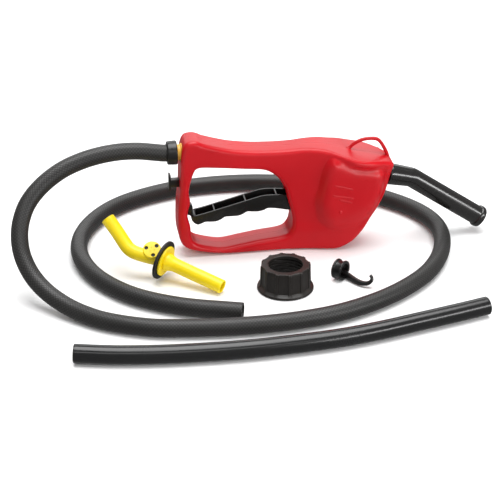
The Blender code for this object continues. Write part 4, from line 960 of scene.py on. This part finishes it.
def make_internals():
    """The push rod and the inlet pipe. The plain parts inside keep their CAD shapes, with softened edges."""
    shaft_r, head_r, start, head, end = 0.004, 0.015, 0.0327, 0.0495, 0.0525
    profile = [(0.0, start), (shaft_r, start), (shaft_r, head), (head_r, head), (head_r, end), (0.0, end)]
    push = lathe("push_rod_turned", rounded(profile, 0.0005, False), along_x(), NYLON, 64)
    place_piece(push, "push_rod_body", "natural_nylon", "push_rod")
    line = resampled(curve_points([(x, 0.0, z) for x, z in INLET_ROUTE]), 0.0025)
    inlet = tube("inlet_pipe", line, INLET_R, INLET_BORE_R, NYLON, 32)
    place_piece(inlet, "root", "natural_nylon", "inlet_tube")
    looks = {
        "guide_plate": NYLON, "valve_body": NYLON, "trigger_pin": STEEL, "inlet_valve": BLUE_RUBBER,
        "outlet_valve": BLUE_RUBBER, "spout_seal": SOFT_RUBBER, "fitting_seal": SOFT_RUBBER,
    }
    for name, look in looks.items():
        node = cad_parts[name]
        for holder in node.material_slots:
            holder.material = look
        weld = node.modifiers.new("Weld", "WELD")
        weld.merge_threshold = 1e-5
        edge = node.modifiers.new("Moulded edges", "BEVEL")
        edge.width, edge.segments, edge.limit_method = 0.0003, 2, "ANGLE"
        edge.angle_limit = radians(50)


make_bulb()
make_internals()


# ---- Rear fitting and spout ----

def make_rear_fitting():
    """A stepped amber fitting through the housing's back, and the crimped ferrule that holds the hose."""
    nipple_r, bore_r, neck_r, shoulder_r = 0.004, 0.003, 0.0068, 0.0099
    back, groove, inner, outer, tip = -0.1296, -0.1256, -0.1154, -0.1126, -0.109
    profile = [
        (bore_r, back - 0.003), (neck_r, back - 0.003), (neck_r, back), (shoulder_r, back),
        (shoulder_r, groove), (FITTING_R, -0.125), (FITTING_R, inner), (FITTING_FLANGE_R, inner),
        (FITTING_FLANGE_R, outer), (nipple_r, outer), (nipple_r, tip), (bore_r, tip),
    ]
    fitting = lathe("amber_fitting", rounded(profile, 0.0005), along_x(HOSE_Z), AMBER)
    place_piece(fitting, "root", "yellow_plastic", "hose_fitting")
    start, end = (corner.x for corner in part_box("hose_ferrule"))
    profile = [
        (FERRULE_BORE_R, start), (0.0136, start), (0.0144, start + 0.0008), (0.0146, start + 0.003),
        (0.0149, end - 0.003), (0.015, end - 0.001), (0.0142, end), (FERRULE_BORE_R, end),
    ]
    ferrule = lathe("crimp_ferrule", rounded(profile, 0.0005), along_x(HOSE_Z), BLACK)
    place_piece(ferrule, "root", "black_plastic", "hose_ferrule")


def make_spout():
    """A straight plug and flange in the housing, one bend, a long nozzle and a beaded tip."""
    ahead = (SPOUT_ELBOW - SPOUT_ROOT).normalized()
    down = (SPOUT_TIP - SPOUT_ELBOW).normalized()
    start, end = SPOUT_ELBOW - ahead * SPOUT_BEND, SPOUT_ELBOW + down * SPOUT_BEND
    bend = [start.lerp(SPOUT_ELBOW, t).lerp(SPOUT_ELBOW.lerp(end, t), t) for t in np.linspace(0, 1, 14)]
    plug_r, flange_r = 0.0078, 0.0118
    plug = (
        (0.0, plug_r, 0.0058), (0.0074, plug_r, 0.0058), (0.0076, 0.0115, 0.0059), (0.008, flange_r, 0.006),
        (0.0097, flange_r, 0.0068), (0.01, SPOUT_NECK_R, 0.007), (0.0115, SPOUT_NECK_R, 0.008),
    )
    stations = [(SPOUT_ROOT + ahead * along, radius, bore) for along, radius, bore in plug]
    base = SPOUT_ROOT + ahead * SPOUT_BASE_START
    for along, share in ((0.0, 0.0), (0.0001, 0.75), (0.0004, 0.93), (0.001, 1.0)):
        stations.append((base + ahead * along, SPOUT_NECK_R + (SPOUT_BASE_R - SPOUT_NECK_R) * share, 0.0084))
    for t in (0.15, 0.35, 0.55, 0.75, 0.9):
        stations.append((base.lerp(start, t), SPOUT_BASE_R + (SPOUT_R - SPOUT_BASE_R) * t, SPOUT_BORE_R))
    stations += [(point, SPOUT_R, SPOUT_BORE_R) for point in bend]
    lip = SPOUT_TIP - down * 0.008
    stations += [(end.lerp(lip, t), SPOUT_R, SPOUT_BORE_R) for t in np.linspace(0.06, 0.98, 16)]
    for back, radius in ((0.0078, SPOUT_R), (0.0075, 0.013), (0.0069, 0.0138), (0.006, SPOUT_LIP_R),
                         (0.0032, SPOUT_LIP_R), (0.002, 0.0139), (0.0013, 0.0136)):
        stations.append((SPOUT_TIP - down * back, radius, SPOUT_BORE_R))
    points, outer, bore = zip(*stations)
    spout = tube("spout_pipe", points, outer, bore, SPOUT_BLACK, 72, edge=0.0012)
    place_piece(spout, "root", "black_plastic", "spout")


make_rear_fitting()
make_spout()


# ---- Loose fittings ----

def make_collar():
    """A loose screw collar: vertical grips on its outside and a thread in its bore."""
    low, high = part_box("cap_collar")
    centre = Vector(((low.x + high.x) / 2, (low.y + high.y) / 2, 0.0))
    flange, height = (high.x - low.x) / 2, high.z - low.z
    body, hole, bore, ribs, rib_rise, hollow_depth = 0.0298, 0.0207, 0.0262, 12, 0.0016, 0.0005
    thread_pitch, thread_rise, thread_z = 0.0042, 0.0013, (0.002, 0.0265)

    def radial(radius, z, angle):
        if hole + 0.003 < radius <= bore + 0.0004 and thread_z[0] < z < thread_z[1]:
            turn = (z / thread_pitch - angle / (2 * pi)) % 1.0
            crest = smoothstep(0.15, 0.35, turn) * (1 - smoothstep(0.65, 0.85, turn))
            return radius - thread_rise * float(crest)
        if radius > body - 0.003 and z > 0.005:
            phase = (angle * ribs / (2 * pi)) % 1.0
            off = min(phase, 1 - phase)
            rib = 1 - float(smoothstep(0.1, 0.14, off))
            hollow = hollow_depth * cos(pi * (0.5 - off) / 0.5)
            return radius + rib_rise * rib - hollow * (1 - rib)
        return radius

    foot = [(bore, 0.0), (flange - 0.0006, 0.0), (flange, 0.0009), (flange - 0.0004, 0.003),
            (body + 0.0004, 0.0052)]
    top = [(body - 0.001, 0.0302), (body - 0.0014, height), (hole + 0.0004, height), (hole, height - 0.0008),
           (hole, 0.0285), (bore, 0.0275)]
    profile = rounded(foot, 0.0005, closed=False)
    profile += [(body - 0.0008 * k / 8, 0.0056 + 0.0232 * k / 8) for k in range(9)]
    profile += rounded(top, 0.0007, closed=False)
    profile += [(bore, 0.027 - 0.0265 * k / 54) for k in range(1, 54)]
    collar = lathe("ribbed_collar", profile, frame_along(centre, UP), BROWN_BLACK, 336, radial)
    place_piece(collar, "collar_body", "collar_plastic", "cap_collar")


def ring_profile(bore, radius, thick):
    return rounded([(bore, 0.0), (radius, 0.0), (radius, thick), (bore, thick)], 0.0009)


def make_adapter():
    """A bent yellow tube with a flange, a gasket and a vent disc that has three plugged holes."""
    back = (ADAPTER_FLANGE - ADAPTER_TIP).normalized()
    route = [ADAPTER_TIP, ADAPTER_TIP.lerp(ADAPTER_FLANGE, 0.5), ADAPTER_FLANGE, *map(Vector, ADAPTER_ROUTE)]
    line = resampled(curve_points(route), 0.002)
    along = lengths_along(line)
    flange_at = (ADAPTER_FLANGE - ADAPTER_TIP).length
    flare = 0.0028 * smoothstep(flange_at - 0.012, flange_at - 0.001, along) * (along < flange_at + 0.001)
    body = tube("can_adapter_body", line, ADAPTER_R + flare, ADAPTER_BORE_R, YELLOW, 56, edge=0.0015)
    flange = ring_profile(ADAPTER_R - 0.001, ADAPTER_FLANGE_R, ADAPTER_FLANGE_T)
    boolean(body, lathe("flange", flange, frame_along(ADAPTER_FLANGE, back), None, 112), "UNION")
    foot = VENT_PLACE - VENT_AXIS * VENT_HEIGHT
    boolean(body, rod("vent", VENT_R, foot, VENT_PLACE, None, 72, edge=0.0012), "UNION")
    place = frame_along(VENT_PLACE, VENT_AXIS)
    start, end = ADAPTER_FLANGE - back * 0.01, ADAPTER_FLANGE + back * 0.018
    cutters = [rod("bore", ADAPTER_BORE_R, start, end, None, 56)]
    for k in range(6):
        large = k % 2 == 0
        angle = radians(180 + 60 * k)
        reach, radius, depth = (VENT_HOLE_CIRCLE, VENT_HOLE_R, 0.005) if large else (0.003, 0.0006, 0.002)
        centre = Vector((reach * cos(angle), reach * sin(angle), 0.0))
        ends = [place @ (centre + UP * h) for h in (-depth, 0.003)]
        cutters.append(rod(f"vent_hole_{k}", radius, *ends, None, 28))
        if large:
            ends = [place @ (centre + UP * h) for h in (-depth + 0.0002, -0.0013)]
            plug = rod(f"vent_plug_{k}", radius - 0.0001, *ends, SOFT_RUBBER, 40, edge=0.0003)
            place_piece(plug, "adapter_body", "black_rubber")
    boolean(body, cutters)
    place_piece(body, "adapter_body", "yellow_plastic", "can_adapter")
    place = frame_along(ADAPTER_FLANGE + back * (ADAPTER_FLANGE_T + GAP), back)
    ring = ring_profile(GASKET_BORE_R, GASKET_R, GASKET_T)
    gasket = lathe("adapter_gasket_ring", ring, place, SOFT_RUBBER, 112)
    place_piece(gasket, "adapter_body", "black_rubber", "adapter_gasket")


def make_clip():
    """An open spring ring with a rim at each end, and a curved strap that ends in a hook."""
    half, wall = CLIP_WIDTH / 2, CLIP_R + CLIP_WALL
    rim = wall + CLIP_RIM
    section = rounded([
        (CLIP_R, -half), (rim, -half), (rim, -half + 0.002), (wall, -half + 0.0026),
        (wall, half - 0.0026), (rim, half - 0.002), (rim, half), (CLIP_R, half),
    ], 0.0005)
    place = frame_along(CLIP_PLACE, CLIP_ALONG, CLIP_MOUTH_SIDE)
    steps = 72
    vertices = []
    for step in range(steps + 1):
        angle = radians(CLIP_MOUTH / 2 + (360 - CLIP_MOUTH) * step / steps)
        vertices += [place @ Vector((r * cos(angle), r * sin(angle), h)) for r, h in section]
    clip = add_object("hook_clip_ring", vertices, loops_to_faces(steps + 1, len(section), ring=False), BLACK)
    line = resampled(curve_points(HOOK_ROUTE), 0.0012)
    t = np.linspace(0, 1, len(line))
    boolean(clip, strip("strap", line, 0.003 - 0.0013 * t**2, 0.0049 - 0.0031 * t), "UNION")
    place_piece(clip, "clip_body", "black_plastic", "hook_clip")


def make_dip_tube():
    line = resampled(curve_points([(x, y, DIP_R + FLOOR_GAP) for x, y in DIP_ROUTE]), 0.003)
    pipe = tube("dip_pipe", line, DIP_R, DIP_BORE_R, PIPE_BLACK, 64, edge=0.0004)
    place_piece(pipe, "dip_tube_body", "black_plastic", "dip_tube")


make_collar()
make_adapter()
make_clip()
make_dip_tube()


# ---- Floor and light ----

def area_light(name, place, target, size, power):
    data = bpy.data.lights.new(name, "AREA")
    data.shape, data.size, data.size_y, data.energy = "RECTANGLE", *size, power
    lamp = link_new(name, data)
    lamp.location = place
    lamp.rotation_euler = (Vector(target) - Vector(place)).to_track_quat("-Z", "Y").to_euler()


def make_stage():
    reach, floor_z = 6.0, -0.0004
    corners = [(x * reach, y * reach, floor_z) for x, y in ((-1, -1), (1, -1), (1, 1), (-1, 1))]
    made = Nodes("pale_floor", (0.96, 0.96, 0.96), 0.9)
    grain = made.noise(30, 3.0)
    look = made.finish(made.mix(grain, (0.955, 0.955, 0.955), (0.965, 0.965, 0.965)))
    floor = add_object("floor", corners, [(0, 1, 2, 3)], look)
    floor.visible_glossy = False
    world = bpy.data.worlds.new("Studio")
    world.use_nodes = True
    set_inputs(world.node_tree.nodes["Background"], color=(1.0, 1.0, 1.0, 1.0), strength=0.3)
    bpy.context.scene.world = world
    sky = bpy.data.lights.new("high_softbox", "SUN")
    sky.angle, sky.energy = radians(50), 3.3
    lamp = link_new("high_softbox", sky)
    lamp.rotation_euler = (radians(-6), radians(4), 0.0)
    area_light("front_strip", (-0.25, -1.35, 1.2), (0.0, 0.0, 0.06), (1.5, 0.22), 3.5)
    area_light("back_softbox", (0.0, 1.6, 0.9), (0.0, 0.0, 0.08), (2.5, 1.0), 12.6)
    area_light("spout_strip", (1.05, -1.15, 0.55), (0.2, 0.0, 0.06), (1.4, 0.24), 11.5)
    bpy.context.scene.view_settings.view_transform = "Standard"


make_stage()
